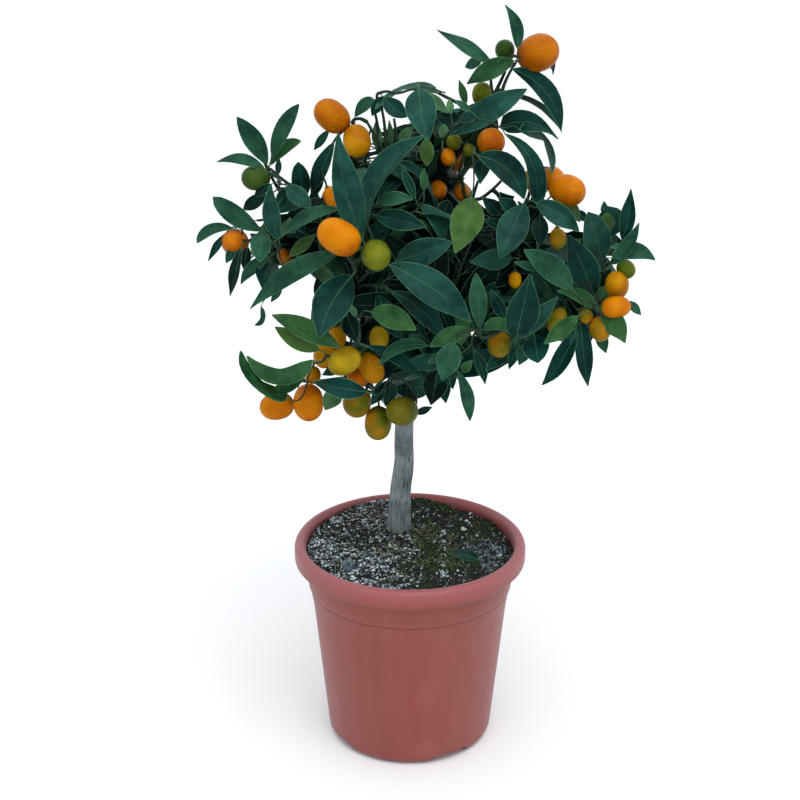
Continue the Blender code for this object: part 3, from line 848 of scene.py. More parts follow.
# left, right, top and bottom edges of each hole
skyHoles = [
    (463, 473, 158, 174), (469, 480, 160, 198), (474, 502, 176, 198), (488, 523, 180, 201),
    (523, 529, 181, 194), (484, 492, 197, 209), (489, 496, 209, 221), (541, 567, 213, 232),
    (545, 555, 221, 237), (506, 533, 136, 176), (522, 551, 133, 169), (607, 617, 233, 240),
    (601, 613, 258, 269), (575, 583, 276, 287), (282, 298, 212, 220), (276, 285, 265, 275),
    (354, 363, 288, 310), (356, 372, 308, 317), (340, 348, 312, 325), (394, 411, 116, 130),
    (372, 382, 140, 149), (372, 381, 110, 120), (386, 392, 117, 125), (322, 337, 148, 182),
    (315, 328, 354, 378), (369, 380, 398, 409), (500, 526, 127, 133), (262, 313, 278, 318),
    (296, 318, 282, 304), (262, 316, 346, 368), (400, 415, 86, 92), (508, 545, 98, 113),
    (416, 426, 394, 404), (468, 480, 366, 380),
]


def showsRight(points, margin=0.0):
    # true where a point's pixel is inside the outline, by counting the edges to its right, and near no hole
    across, down = toPhoto(points)
    corners = np.array(crownOutline, float)
    startX, startY = corners.T
    endX, endY = np.roll(corners, -1, axis=0).T
    x, y = across[..., None], down[..., None]
    crosses = (startY > y) != (endY > y)
    meets = startX + (y - startY) * (endX - startX) / np.where(endY == startY, 1, endY - startY)
    inside = (crosses & (x < meets)).sum(axis=-1) % 2 == 1
    holes = np.array(skyHoles, float)
    inHole = (x > holes[:, 0] - margin) & (x < holes[:, 1] + margin)
    inHole &= (y > holes[:, 2] - margin) & (y < holes[:, 3] + margin)
    return inside & ~inHole.any(axis=-1)


class Curtain:
    # points on the leaves and fruit that the photo shows; what is grown by rule stays behind them
    def __init__(self, points):
        self.across, self.down = toPhoto(points)
        self.depth = points[:, 1]

    def behind(self, points, reach=11.0, room=0.004):
        across, down = toPhoto(points)
        flat = np.stack([across.ravel(), down.ravel(), points[..., 1].ravel()], axis=-1).astype(np.float32)
        good = np.ones(len(flat), bool)
        for x, y, depth in zip(self.across, self.down, self.depth):
            near = np.abs(flat[:, 0] - x) < reach
            near &= np.abs(flat[:, 1] - y) < reach
            good &= ~(near & (flat[:, 2] < depth + room))
        return good.reshape(points.shape[:-1])


# Leaves that the photo shows one by one. Each row: base pixel, tip pixel, width in pixels, sideways bow in
# pixels (to the left of base-to-tip), tone, and reach (1 towards the viewer, -1 away, 0 flat on the view).
# A spray's rows run from its back to its front, and depth is its world y. A ninth value is how blunt the
# tip is.
sprays = {
    "upperLeftFan": {"depth": -0.020, "leaves": [
        (271, 165, 301, 141, 13, 5, "green", -1, 0.7), (278, 175, 279, 158, 6, 0, "deep", -1),
        (267, 165, 237, 117, 19, -2, "mid", 0.6, 0.7), (272, 158, 299, 104, 17, 2, "mid", 0.6, 0.7),
        (266, 172, 217, 162, 12, -5.7, "mid", 0.5), (304, 200, 298, 162, 18, 0, "deep", 0.5, 1),
        (322, 166, 314, 198, 11, 0, "deep", -0.4), (334, 142, 311, 193, 15, 0, "deep", -0.4, 0.3),
        (329, 130, 314, 150, 8, 0, "deep", -1), (286, 186, 311, 207, 17, 0, "teal", 1, 0.9),
    ]},
    "leftSpray": {"depth": -0.036, "leaves": [
        (268, 194, 243, 210, 13, 0, "deep", -0.5), (272, 184, 254, 197, 9, 0, "deep", -0.5),
        (292, 188, 275, 206, 13, 0, "deep", -0.5), (275, 213, 306, 195, 17, 0, "deep", -1),
        (282, 286, 271, 302, 7, 0, "mid", 1), (270, 262, 262, 288, 22, 0, "deep", 1),
        (262, 231, 213, 197, 19, 2.5, "mid", 0.4, 1), (226, 233, 208, 261, 8, 0, "deep", 0.6),
        (233, 229, 197, 243, 11, -7, "mid", 0.5, 0.8), (236, 246, 226, 263, 10, 0, "deep", 0.5),
        (248, 247, 244, 270, 11, 0, "shade", 0.5), (241, 247, 230, 296, 12, 1, "shade", 0.5),
        (270, 257, 241, 284, 12, -4, "mid", 0.5), (262, 230, 260, 262, 20, 0, "mid", 1, 0.7),
        (290, 256, 316, 234, 12, 0, "yellow", 0.5), (279, 239, 271, 184, 17, 4, "teal", 0.5),
        (281, 237, 340, 209, 14, 5, "mid", 0.5, 0.4), (261, 307, 255, 325, 5, 6, "mid", 0.2),
        (322, 270, 317, 306, 9, 0, "shade", 0.5), (314, 262, 338, 290, 14, 0, "pale", 1),
        (347, 315, 357, 342, 18, 0, "shade", 0.5), (339, 253, 250, 309, 24, -4, "mid", 0.5),
    ]},
    "frontLeft": {"depth": -0.093, "leaves": [
        (415, 198, 402, 168, 9, 0, "deep", -0.5), (424, 190, 424, 168, 7, 0, "green", -0.5),
        (375, 215, 426, 227, 20, 0, "deep", 0.5), (377, 204, 413, 199, 13, 3, "mid", 0.5),
        (396, 262, 452, 242, 26, 0, "teal", 0.5, 0.6), (352, 276, 319, 338, 37, -5, "deep", 0.6),
        (363, 240, 338, 133, 29, 6, "teal", -0.2), (362, 240, 424, 136, 24, 16, "teal", -0.2),
        (356, 316, 350, 304, 6, 0, "pale", 0.5), (366, 346, 426, 381, 13, 3, "deep", 0.3),
        (371, 312, 416, 330, 23, 3, "bright", 0.6, 0.4), (470, 331, 430, 347, 17, -3, "green", 0.6, 0.3),
        (428, 346, 379, 366, 11, -10, "mid", 0.4), (390, 265, 471, 322, 33, 5, "teal", 0.4),
    ]},
    "lowLeft": {"depth": -0.084, "leaves": [
        (415, 414, 432, 407, 7, 0, "deep", -0.5), (408, 385, 415, 402, 12, 0, "shade", -0.5),
        (386, 384, 371, 405, 12, 0, "deep", 0.5), (395, 383, 385, 406, 12, 0, "deep", 0.5),
        (342, 366, 322, 375, 10, 0, "mid", 0.5), (390, 380, 385, 400, 12, -4, "shade", -0.5),
        (438, 370, 431, 405, 25, 0, "shade", 0.5), (449, 370, 453, 389, 11, 0, "deep", 0.5),
        (440, 370, 446, 403, 15, 0, "deep", 0.5), (338, 391, 325, 410, 18, 0, "pale", 0.5, 0.5),
        (340, 347, 272, 315, 21, -1, "bright", 0.3, 0.6), (320, 350, 275, 327, 17, 2, "yellow", 0.5, 0.5),
        (308, 366, 268, 393, 14, 5, "green", 0.4, 0.4), (287, 394, 241, 351, 9, 13.3, "green", -0.3),
        (312, 360, 247, 356, 16.5, 20.5, "green", 0.3), (367, 392, 313, 382, 20, 1, "deep", 0.5),
        (445, 352, 428, 363, 8, 0, "mid", 0.5), (454, 342, 442, 380, 24, 0, "mid", 0.8),
        (462, 372, 472, 360, 9, 0, "bright", 0.5), (457, 370, 470, 421, 13, 3, "mid", 0.5, 0.5),
    ]},
    "upperMiddle": {"depth": -0.028, "leaves": [
        (391, 148, 389, 120, 6, 0, "pale", -0.5), (378, 150, 376, 121, 10, 0, "pale", -0.5),
        (398, 142, 413, 127, 10, 0, "pale", -0.5), (355, 117, 374, 99, 12, 2, "mid", -0.5, 1),
        (387, 97, 372, 116, 12, -2, "deep", -0.3), (384, 97, 407, 117, 17, -2, "deep", 0.3, 0.6),
        (443, 140, 444, 124, 10, 0, "pale", -0.5), (451, 114, 449, 99, 7, 0, "pale", -0.5),
        (437, 93, 376, 109, 10, -17, "mid", -0.2, 0.5), (425, 93, 448, 113, 11, 0, "pale", 0.5),
        (426, 138, 427, 166, 14, 0, "yellow", 0.4, 0.5), (470, 111, 455, 100, 7, 0, "mid", 0.3),
        (419, 89, 428, 141, 30, -2, "teal", 0.7, 0.4),
    ]},
    "topSpray": {"depth": -0.008, "leaves": [
        (436, 116, 464, 122, 16, 0, "deep", 0.3, 0.4), (517, 56, 553, 75, 26, 13, "deep", -1),
        (513, 96, 562, 132, 10, 7, "deep", 0.3), (515, 70, 547, 108, 10, 5, "green", 0.4),
        (482, 60, 465, 67, 11, 0, "mid", -0.5), (492, 63, 437, 30, 15, 2.2, "mid", 0.2),
        (517, 48, 505, 5, 12.5, -4.6, "mid", 0.2, -0.1), (514, 61, 467, 84, 19, -2, "green", 0.4),
        (512, 69, 561, 131, 21, 13, "deep", 0.4), (466, 104, 459, 80, 8, 0, "bright", 0.4),
        (500, 127, 558, 139, 22, 10, "deep", 0.5, -0.8), (449, 135, 527, 89, 25, 0, "teal", 0.3, 0.5),
    ]},
    "rightUpper": {"depth": -0.046, "leaves": [
        (540, 215, 540, 246, 16, 0, "deep", 0.5), (505, 205, 500, 192, 18, 0, "deep", 0.8),
        (483, 160, 480, 184, 16, 0, "deep", 0.8), (520, 131, 552, 173, 9, 18, "deep", 0.3),
        (505, 134, 536, 204, 16, 14, "deep", 0.4, 1.5), (500, 214, 482, 197, 14, 0, "deep", 0.5),
        (502, 227, 484, 219, 9, 0, "deep", 0.5), (516, 212, 498, 198, 14, 0, "deep", 0.5),
        (478, 156, 524, 199, 26, 10, "deep", 0.6, 0.4), (512, 258, 470, 262, 20, 0, "teal", 0.6),
        (524, 203, 500, 258, 30, 0, "teal", 0.6, 0.4), (471, 197, 455, 253, 32, 3, "yellow", 0.8, 0.3),
        (536, 203, 579, 231, 21, 2.5, "teal", 0.6, 0.3),
    ]},
    "frontLowRight": {"depth": -0.094, "leaves": [
        (474, 350, 485, 384, 11, 2, "deep", 0.4), (510, 358, 486, 371, 11, -4, "deep", 0.6),
        (518, 342, 509, 369, 10, 0, "deep", 0.5), (525, 345, 519, 365, 14, 0, "mid", 0.5),
        (534, 335, 538, 363, 26, 0, "deep", 0.8, 1), (572, 290, 524, 250, 24, -3, "mid", 0.4, 0.5),
        (540, 270, 514, 262, 8, 0, "mid", 0.4), (505, 320, 491, 290, 12, 0, "deep", 0.4),
        (484, 330, 512, 334, 12, 8, "green", 0.6), (480, 327, 476, 273, 17, 0, "mid", 0.4, 0.6),
        (516, 338, 530, 274, 32, 0, "deep", 0.6), (516, 338, 558, 297, 18, 0, "teal", 0.4),
        (578, 316, 544, 344, 16, 0, "bright", 0.5),
    ]},
    "right": {"depth": -0.036, "leaves": [
        (566, 202, 580, 222, 13, 0, "pale", 0.5), (575, 211, 589, 222, 9, 0, "deep", 0.5),
        (604, 214, 604, 201, 7, 0, "mid", 0.2), (588, 290, 567, 240, 10, 0, "deep", 0.4),
        (600, 286, 611, 268, 11, 0, "deep", 0.4), (607, 238, 607, 206, 36, 0, "teal", 0.3, 1),
        (606, 234, 605, 213, 16, 0, "yellow", 1, 1), (602, 262, 588, 212, 28, 0, "teal", 0.7, 1),
        (594, 295, 568, 235, 29, 0, "deep", 0.6, 0.4), (622, 240, 631, 189, 14, -2.2, "deep", 0.4),
        (610, 264, 639, 223, 13, -4, "mid", 0.4), (612, 258, 655, 260, 17, 8, "mid", 0.5),
        (628, 301, 641, 315, 9, 0, "mid", 0.5), (598, 328, 606, 353, 12, 0, "mid", 0.3),
        (598, 311, 557, 291, 13, -5, "green", 0.4), (580, 316, 588, 386, 20, -1.2, "deep", 0.3),
        (576, 328, 542, 385, 18, 4.5, "deep", 0.3), (600, 313, 625, 343, 22, 4, "bright", 0.5),
    ]},
}
# Fruit that the photo shows: middle pixel, length and width in pixels, the way its far end points in degrees
# (0 right, 90 up), world y and ripeness, the darker ripe tone being ripe fruit with painted shade. The far
# end leans towards the viewer.
fruitSeen = [
    (538, 53, 41, 38, 8, -0.020, "burnt"), (332, 116, 38, 31, 145, -0.040, "burnt"),
    (339, 237, 46, 35, 150, -0.128, "ripe"), (235, 242, 27, 27, 250, -0.052, "ripe"),
    (491, 142, 28, 28, 300, -0.052, "burnt"), (534, 180, 24, 22, 290, -0.026, "ripe"),
    (553, 179, 26, 24, 290, -0.036, "ripe"), (567, 190, 37, 31, -25, -0.056, "ripe"),
    (617, 285, 27, 24, 100, -0.074, "amber"), (616, 307, 30, 22, 5, -0.090, "ripe"),
    (277, 406, 34, 28, 190, -0.082, "ripe"), (308.5, 402.5, 37, 31, 275, -0.092, "ripe"),
    (448, 157, 18, 15, 270, -0.030, "ripe"), (438, 190, 20, 18, 270, -0.012, "ripe"),
    (462, 192, 18, 16, 270, -0.010, "ripe"), (285, 257, 18, 14, 300, -0.026, "ripe"),
    (333, 198, 24, 18, 300, -0.060, "ripe"), (557, 320, 27, 17, 240, -0.076, "turning"),
    (313, 375, 18, 16, 270, -0.070, "amber"), (515, 280, 17, 13, 270, -0.070, "amber"),
    (357, 141, 34, 28, 280, -0.048, "amber"), (325, 354, 29, 23, 260, -0.092, "amber"),
    (337, 338, 22, 19, 270, -0.088, "amber"), (379, 338, 24, 20, 270, -0.088, "yellow"),
    (358, 376, 24, 22, 270, -0.084, "ripe"), (371, 368, 33, 24, 300, -0.090, "amber"),
    (344.5, 361, 35, 27, 208, -0.114, "yellow"), (600, 329, 25, 21, 280, -0.086, "turning"),
    (558, 239, 22, 17, 275, -0.078, "turning"), (505, 50, 20, 20, 120, -0.006, "green"),
    (482, 94, 22, 20, 90, -0.020, "lime"), (256, 178, 28, 25, 190, -0.030, "green"),
    (376, 255, 32, 30, 290, -0.128, "lime"), (454, 142, 16, 16, 270, -0.024, "lime"),
    (469, 150, 13, 13, 270, -0.030, "lime"), (626, 269, 20, 18, 300, -0.070, "lime"),
    (586, 316, 15, 14, 270, -0.080, "turning"), (499, 344, 27, 24, 270, -0.100, "turning"),
    (357, 402, 31, 29, 270, -0.088, "turning"), (378, 423, 34, 27, 268, -0.092, "turning"),
    (402, 411, 32, 29, 180, -0.102, "olive"),
]
# Bare stems that the photo shows: their depth, then pixels from where they leave the wood
stemsSeen = [
    (-0.020, (475, 112), (446, 97), (436, 92)), (-0.006, (502, 92), (506, 80), (514, 65)),
    (-0.008, (492, 92), (491, 84), (491, 77)), (-0.034, (386, 152), (385, 130), (382, 110)),
    (-0.030, (379, 150), (378, 130), (375, 113)), (-0.034, (397, 148), (396, 134), (394, 119)),
    (-0.036, (382, 148), (375, 136), (367, 122)), (-0.022, (472, 200), (475, 190), (478, 181)),
    (-0.024, (482, 198), (492, 190), (502, 180)), (-0.030, (462, 176), (468, 168), (473, 162)),
    (-0.022, (300, 190), (286, 182), (271, 169)), (-0.030, (296, 232), (268, 229), (244, 226)),
    (-0.086, (500, 338), (488, 334), (478, 331)), (-0.040, (592, 300), (600, 282), (606, 264)),
]
leafShape = {
    "rows": 12,
    "columns": 5,
    "thickness": 0.00035,
    "margin": 0.00032,
    "stalk": 0.0085,
    "lengthToWidth": 2.9,
    "seenStep": 0.0028,
    "foremost": -0.146,
    "bluntness": 0.15,
    "leastLean": 1.03,
    "mostHidden": 0.030,
    # the fallen leaf: its base and tip across and down the photo in pixels, then its width, bow and so on
    "fallenPixels": ((479, 446), (561, 554)),
    "fallen": (0.0178, -0.001, 0.0015, 0.05, 0.0, 0.05, 1.0, 0.1, 0.2),
    "ribSpots": [0.0, 0.10, 0.24, 0.42, 0.62, 0.80, 0.95],
    "ribRadii": [0.00085, 0.00072, 0.00066, 0.00052, 0.00042, 0.00034, 0.00026, 0.00019, 0.00012],
}
bladeNumbers = ("width", "bow", "arch", "fold", "cup", "wave", "phase", "twist", "blunt")


def joined(batches):
    # batches of leaves, each a dictionary of columns with one row per leaf, as one
    return {name: np.concatenate([batch[name] for batch in batches]) for name in batches[0]}


def across(leaves):
    # each leaf's own axes: along it, out of its face, and to its left; with its length
    span = leaves["tip"] - leaves["base"]
    length = np.linalg.norm(span, axis=-1, keepdims=True)
    along = span / length
    normal = unit(leaves["normal"] - along * (leaves["normal"] * along).sum(axis=-1, keepdims=True))
    return along, normal, np.cross(normal, along), length


def bladePoints(leaves, u, v, lift=0.0, beyond=0.0):
    # u runs from base to tip and v from -1 to 1 across. The spine is the chord plus a bow to the side and an
    # arch out of the face, both 4u(1-u). Across it, half the width is a sine of u, drawn out to a point or
    # blunt. The halves fold up like a shallow V, the edges wave, and the whole blade twists a little.
    along, normal, side, length = (part[:, None, None] for part in across(leaves))
    width, bow, arch, fold, cup, wave, phase, twist, blunt = (
        leaves[name][:, None, None] for name in bladeNumbers)
    u = np.asarray(u)[None, :, None]
    v = np.asarray(v)[None, None, :]
    bell, slope = 4 * u * (1 - u), 4 * (1 - 2 * u)
    outline = np.sin(math.pi * np.clip(u, 0, 1) ** (0.88 + 0.3 * blunt)) ** (0.82 + (0.42 - 0.66 * blunt) * u)
    half = width / 2 * (0.025 + 0.975 * outline)
    spine = leaves["base"][:, None, None] + (along * length * u[..., None])
    spine = spine + side * (bow * bell)[..., None] + normal * (arch * bell)[..., None]
    sideHere = side - along * (slope * bow)[..., None] / length
    faceHere = normal - along * (slope * arch)[..., None] / length
    turn = (twist * (u - 0.4))[..., None]
    sideTurned = sideHere * np.cos(turn) + faceHere * np.sin(turn)
    faceTurned = faceHere * np.cos(turn) - sideHere * np.sin(turn)
    reach = v * (half + beyond)
    waves = wave * np.sin(9.0 * u + phase + 1.7 * np.sign(v)) * np.abs(v) ** 2.5
    height = half * (fold * np.abs(v) ** 1.1 - cup * v * v + waves) + lift
    return spine + sideTurned * reach[..., None] + faceTurned * height[..., None]


def leafSheets(leaves, under=False):
    # the face, or the same sheet set back by the leaf's thickness, but not at its edges, and turned over
    rows, columns = leafShape["rows"], leafShape["columns"]
    v = np.linspace(-1, 1, columns)
    lift = -leafShape["thickness"] * (1 - v * v) ** 0.5 if under else 0.0
    points = bladePoints(leaves, np.linspace(0, 1, rows), v, lift)
    faces = halved(gridFaces(rows, columns), under)
    return points.reshape(-1, 3), repeated(faces, len(points), rows * columns)


def leafMargins(leaves):
    # a thin strip along each edge of the blade, from the edge outwards; its pale colour is a painted
    # highlight, the light caught along the edge
    rows = leafShape["rows"]
    u = np.linspace(0, 1, rows)
    shapes = []
    for edge in ([-1.0], [1.0]):
        inner = bladePoints(leaves, u, edge)
        outer = bladePoints(leaves, u, edge, beyond=leafShape["margin"])
        shapes.append(np.concatenate((outer, inner) if edge[0] < 0 else (inner, outer), axis=2))
    points = np.stack(shapes, axis=1)
    return points.reshape(-1, 3), repeated(gridFaces(rows, 2)[:, ::-1], len(points) * 2, rows * 2)


def leafStalks(leaves):
    # from the twig to the blade's foot, then on as the midrib, thinning to the tip
    rib = bladePoints(leaves, leafShape["ribSpots"], [0.0], lift=0.00004)[:, :, 0]
    root, base = leaves["root"], rib[:, 0]
    bend = (root + base) / 2 + upward * 0.0006
    path = np.concatenate([root[:, None], bend[:, None], rib], axis=1)
    scale = np.clip(leaves["width"] / 0.022, 0.55, 1.25)[:, None]
    return tubes(path, scale * leafShape["ribRadii"], 5)


def seenSpray(depth, rows, chance):
    # a spray's rows put at its depth, each real length and width found from how the leaf is foreshortened
    count = len(rows)
    baseX, baseY, tipX, tipY, widthSeen, bowSeen = np.array([row[:6] for row in rows], float).T
    reach = np.array([row[7] for row in rows], float)
    depth = depth - leafShape["seenStep"] * np.arange(count)
    base = fromPhoto(baseX, baseY, depth)
    scale = viewDepth(base) / camera["focal"]
    shown = np.linalg.norm(fromPhoto(tipX, tipY, depth) - base, axis=-1)
    width = widthSeen * scale
    least = shown * leafShape["leastLean"]
    full = np.clip(width * leafShape["lengthToWidth"], least, least + leafShape["mostHidden"])
    lean = np.sqrt(full ** 2 - shown ** 2) * reach
    tip = fromPhoto(tipX, tipY, np.maximum(depth - lean, leafShape["foremost"]))
    length = np.linalg.norm(tip - base, axis=-1)
    along = unit(tip - base)
    facing = unit(towardsCamera - along * (along @ towardsCamera)[:, None])
    over = np.cross(along, facing)
    flip = np.where(over @ upward < 0, -1, 1)
    over = over * flip[:, None]
    # a leaf that looks too narrow for its length is turned edge-on, with its face more to the sky
    real = np.maximum(width, length / (leafShape["lengthToWidth"] * 1.22))
    turn = np.arccos(np.clip(width / real, 0.45, 1)) + chance.normal(0, 0.10, count)
    arch = length * chance.uniform(0.02, 0.09, count)
    return {
        "base": base,
        "tip": tip,
        "normal": facing * np.cos(turn)[:, None] + over * np.sin(turn)[:, None],
        "width": np.minimum(real, width / 0.5),
        # the arch of a turned leaf moves its middle across the view too, and the bow makes up for that
        "bow": (bowSeen * scale + arch * np.sin(turn) * flip) / np.cos(turn),
        "arch": arch,
        "fold": chance.uniform(0.18, 0.52, count),
        "cup": chance.uniform(0.0, 0.15, count),
        "wave": chance.uniform(0.02, 0.10, count),
        "phase": chance.uniform(0, 7, count),
        "twist": chance.normal(0, 0.25, count),
        "blunt": np.array([row[8] if len(row) > 8 else leafShape["bluntness"] for row in rows]),
        "root": base - along * leafShape["stalk"] * 0.8 - upward * 0.0015,
        "tone": [row[6] for row in rows],
    }


def seenLeaves():
    chance = np.random.default_rng(71)
    return joined([seenSpray(spray["depth"], spray["leaves"], chance) for spray in sprays.values()])


def fallenLeaf():
    # one dark leaf that lies on the soil
    base, tip = onSoil(*leafShape["fallenPixels"], 0.0022)[:, None]
    numbers = {name: [value] for name, value in zip(bladeNumbers, leafShape["fallen"])}
    root = base - unit(tip - base) * 0.004
    return {"base": base, "tip": tip, "root": root, "normal": [[0.1, -0.15, 1.0]], "tone": ["deep"],
            **numbers}


growth = {
    "twigsPerMass": 10,
    "leavesPerTwig": 7,
    "tries": 8,
    "shortest": 0.042,
    "longest": 0.082,
    "widthShare": 0.36,
    "spread": 52,
    "droop": 0.16,
    "nearest": -0.088,
    "tipReach": 0.70,
    "steps": 10,
    "leafyStem": 0.035,
    "insideShare": 0.8,
    "twigRoom": 7.0,
    "leafRoom": 3.0,
    "firstLeaf": 0.34,
    "checkedAt": np.array([0.3, 0.55, 0.8, 1.0]),
    "crownMiddle": np.array([0.0, 0.02, 0.46]),
    "shadeMiddle": np.array([0.0, 0.015, 0.47]),
    "shadeReach": 0.098,
}


def growTwigs(curtain):
    # from the limb in each mass, twigs spread evenly over a sphere; each bends from the limb's way to its own
    chance = np.random.default_rng(5)
    limbFor = {row[3]: name for name, row in limbs.items()}
    count = growth["twigsPerMass"]
    rise = 1 - 2 * (np.arange(count) + 0.5) / count
    level = np.sqrt(1 - rise ** 2)
    golden = math.pi * (3 - math.sqrt(5))
    paths = []
    for number, (mass, (centre, half)) in enumerate(masses.items()):
        control = curves[limbFor[mass]]
        turn = golden * np.arange(count) + number
        way = np.stack([level * np.cos(turn), level * np.sin(turn), rise], axis=-1)
        reach = chance.uniform(0.85, 1.1, (count, 1)) * growth["tipReach"]
        end = np.array(centre) + way * np.array(half) * reach
        forward = 0.4 + 0.6 * (way @ bezierWay(control, 1.0) > 0)
        share = np.clip(0.62 + 0.40 * chance.uniform(0, 1, count) * forward, 0, 0.985)
        start, along = bezier(control, share), bezierWay(control, share)
        span = np.linalg.norm(end - start, axis=-1, keepdims=True)
        outward = (end - start) / span
        first = start + unit(along * 0.5 + outward) * span * 0.35
        second = end - unit(outward + upward * 0.25 + way * 0.3) * span * 0.3
        for twigControl in zip(start, first, second, end):
            route = bezier(twigControl, np.linspace(0, 1, growth["steps"]))
            inside = showsRight(route[3:]).mean() > growth["insideShare"]
            if inside and curtain.behind(route[3:], growth["twigRoom"]).mean() > growth["insideShare"]:
                paths.append(route)
    return np.array(paths)


def growLeaves(paths, curtain):
    # leaves stand round each twig by a two-fifths turn, the last ones closing over its tip. Each tries
    # several ways, and keeps the first whose blade stays inside the crown that the photo shows.
    chance = np.random.default_rng(23)
    count, each, tries = len(paths), growth["leavesPerTwig"], growth["tries"]
    order = np.arange(each)
    spot = (growth["firstLeaf"] + (1 - growth["firstLeaf"]) * order / (each - 1)) * (growth["steps"] - 1)
    step = np.minimum(spot.astype(int), growth["steps"] - 2)
    root = paths[:, step] + (paths[:, step + 1] - paths[:, step]) * (spot - step)[None, :, None]
    along = unit(paths[:, step + 1] - paths[:, step])
    side = unit(np.cross(along, upward + chance.normal(0, 0.2, along.shape)))
    other = np.cross(along, side)
    turn = order[None, :, None] * math.tau * 0.4 + chance.uniform(0, 6, (count, 1, 1))
    turn = turn + np.arange(tries)[None, None] * 0.9 + chance.normal(0, 0.3, (count, each, tries))
    opening = np.radians(growth["spread"]) * np.where(order == each - 1, 0.35, 1.0)[None, :, None]
    opening = (opening * chance.uniform(0.75, 1.25, (count, each, tries)))[..., None]
    way = along[:, :, None] * np.cos(opening)
    around = side[:, :, None] * np.cos(turn)[..., None] + other[:, :, None] * np.sin(turn)[..., None]
    way = way + around * np.sin(opening)
    way = unit(way - upward * growth["droop"] * chance.uniform(0, 2, (count, each, tries, 1)))
    length = chance.uniform(growth["shortest"], growth["longest"], (count, each, 1, 1))
    length = length * 0.94 ** np.arange(tries)[None, None, :, None]
    base = root[:, :, None] + way * leafShape["stalk"]
    tip = base + way * length
    checks = base[..., None, :] + (tip - base)[..., None, :] * growth["checkedAt"][:, None]
    fine = showsRight(checks, growth["leafRoom"]).all(axis=-1)
    fine &= (checks[..., 1] > growth["nearest"]).all(axis=-1)
    fine &= curtain.behind(checks).all(axis=-1)
    fine &= ((tip > np.array(cadLow)) & (tip < np.array(cadHigh))).all(axis=-1)
    rows, columns = np.nonzero(fine.any(axis=-1))
    chosen = np.argmax(fine, axis=-1)[rows, columns]
    base, tip = base[rows, columns, chosen], tip[rows, columns, chosen]
    total = len(base)
    size = np.linalg.norm(tip - base, axis=-1)
    outward = unit(base - growth["crownMiddle"])
    normal = upward * 0.75 + outward * 0.55 + chance.normal(0, 0.38, (total, 3))
    draw = chance.uniform(0, 1, total)
    tone = np.select([draw < 0.40, draw < 0.62, draw < 0.82, draw < 0.93, draw < 0.97],
                     ["deep", "teal", "mid", "green", "bright"], "pale")
    # leaves well inside the crown get the darkest tone, a painted shade
    inward = np.linalg.norm((base + tip) / 2 - growth["shadeMiddle"], axis=-1)
    return {
        "base": base,
        "tip": tip,
        "normal": normal,
        "width": size * growth["widthShare"] * chance.uniform(0.82, 1.12, total),
        "bow": size * chance.normal(0, 0.05, total),
        "arch": size * chance.uniform(0.02, 0.14, total),
        "fold": chance.uniform(0.10, 0.45, total),
        "cup": chance.uniform(0, 0.15, total),
        "wave": chance.uniform(0.02, 0.12, total),
        "phase": chance.uniform(0, 7, total),
        "twist": chance.normal(0, 0.35, total),
        "blunt": chance.uniform(0, 0.8, total),
        "root": root[rows, columns],
        "tone": np.where(inward < growth["shadeReach"], "shade", tone),
    }


stemShape = {
    "sides": 7,
    "thinnest": 0.00078,
    "power": 0.42,
    "foot": (0.0007, 0.0026),
    "taper": 0.72,
    "tip": (0.0006, 0.0020),
    "bare": (0.0016, 0.0011),
    "twig": (0.0017, 0.0008),
    "fruitStalk": (0.00095, 0.00095),
    "fruitSides": 6,
    "bareSteps": 9,
}


def limbWood():
    # points along the boughs and branches, and the way each runs
    share = np.linspace(0.45, 0.99, 24)
    wood = np.concatenate([bezier(curves[name], share) for name in limbs])
    return wood, np.concatenate([bezierWay(curves[name], share) for name in limbs])


def bareStems():
    # the bare stems of the photo, each as a smooth run through its three pixels
    paths = []
    for depth, *pixels in stemsSeen:
        first, middle, last = fromPhoto(*np.array(pixels, float).T, depth)
        share = np.linspace(0, 1, stemShape["bareSteps"])[:, None]
        bend = middle * 2 - (first + last) / 2
        paths.append((1 - share) ** 2 * first + 2 * share * (1 - share) * bend + share ** 2 * last)
    return np.array(paths)


def growStems(roots, ways, wood, woodWay):
    # grows the twigs of the seen sprays and fruit: the loose foot nearest to the wood so far is joined to it
    # by a curve, which becomes wood itself, until none is loose. A stem is as thick as what it carries needs.
    owner = np.full(len(wood), -1)
    count, steps = len(roots), growth["steps"]
    loose = np.ones(count, bool)
    gaps = np.linalg.norm(roots[:, None] - wood[None], axis=-1)
    nearest, distance = gaps.argmin(axis=1), gaps.min(axis=1)
    share = np.linspace(0, 1, steps)
    paths, parents = [], []
    for number in range(count):
        pick = int(np.argmin(np.where(loose, distance, np.inf)))
        loose[pick] = False
        start, end = wood[nearest[pick]], roots[pick]
        outward = unit(end - start)
        handle = np.linalg.norm(end - start) * 0.38
        leave = unit(woodWay[nearest[pick]] * 0.6 + outward)
        arrive = unit(outward * 0.8 + ways[pick] * 0.7 + upward * 0.15)
        control = (start, start + leave * handle, end - arrive * handle, end)
        path = bezier(control, share)
        paths.append(path)
        parents.append(owner[nearest[pick]])
        fresh = np.linalg.norm(roots[:, None] - path[None, 2:], axis=-1)
        better = fresh.min(axis=1) < distance
        nearest = np.where(better, len(wood) + fresh.argmin(axis=1), nearest)
        distance = np.minimum(distance, fresh.min(axis=1))
        wood = np.concatenate([wood, path[2:]])
        woodWay = np.concatenate([woodWay, bezierWay(control, share)[2:]])
        owner = np.concatenate([owner, np.full(steps - 2, number)])
    load = np.ones(count)
    for index in range(count - 1, -1, -1):
        if parents[index] >= 0:
            load[parents[index]] += load[index]
    foot = np.clip(stemShape["thinnest"] * load ** stemShape["power"], *stemShape["foot"])
    tip = np.clip(foot * stemShape["taper"], *stemShape["tip"])
    return np.array(paths), foot[:, None] + (tip - foot)[:, None] * np.linspace(0, 1, steps)


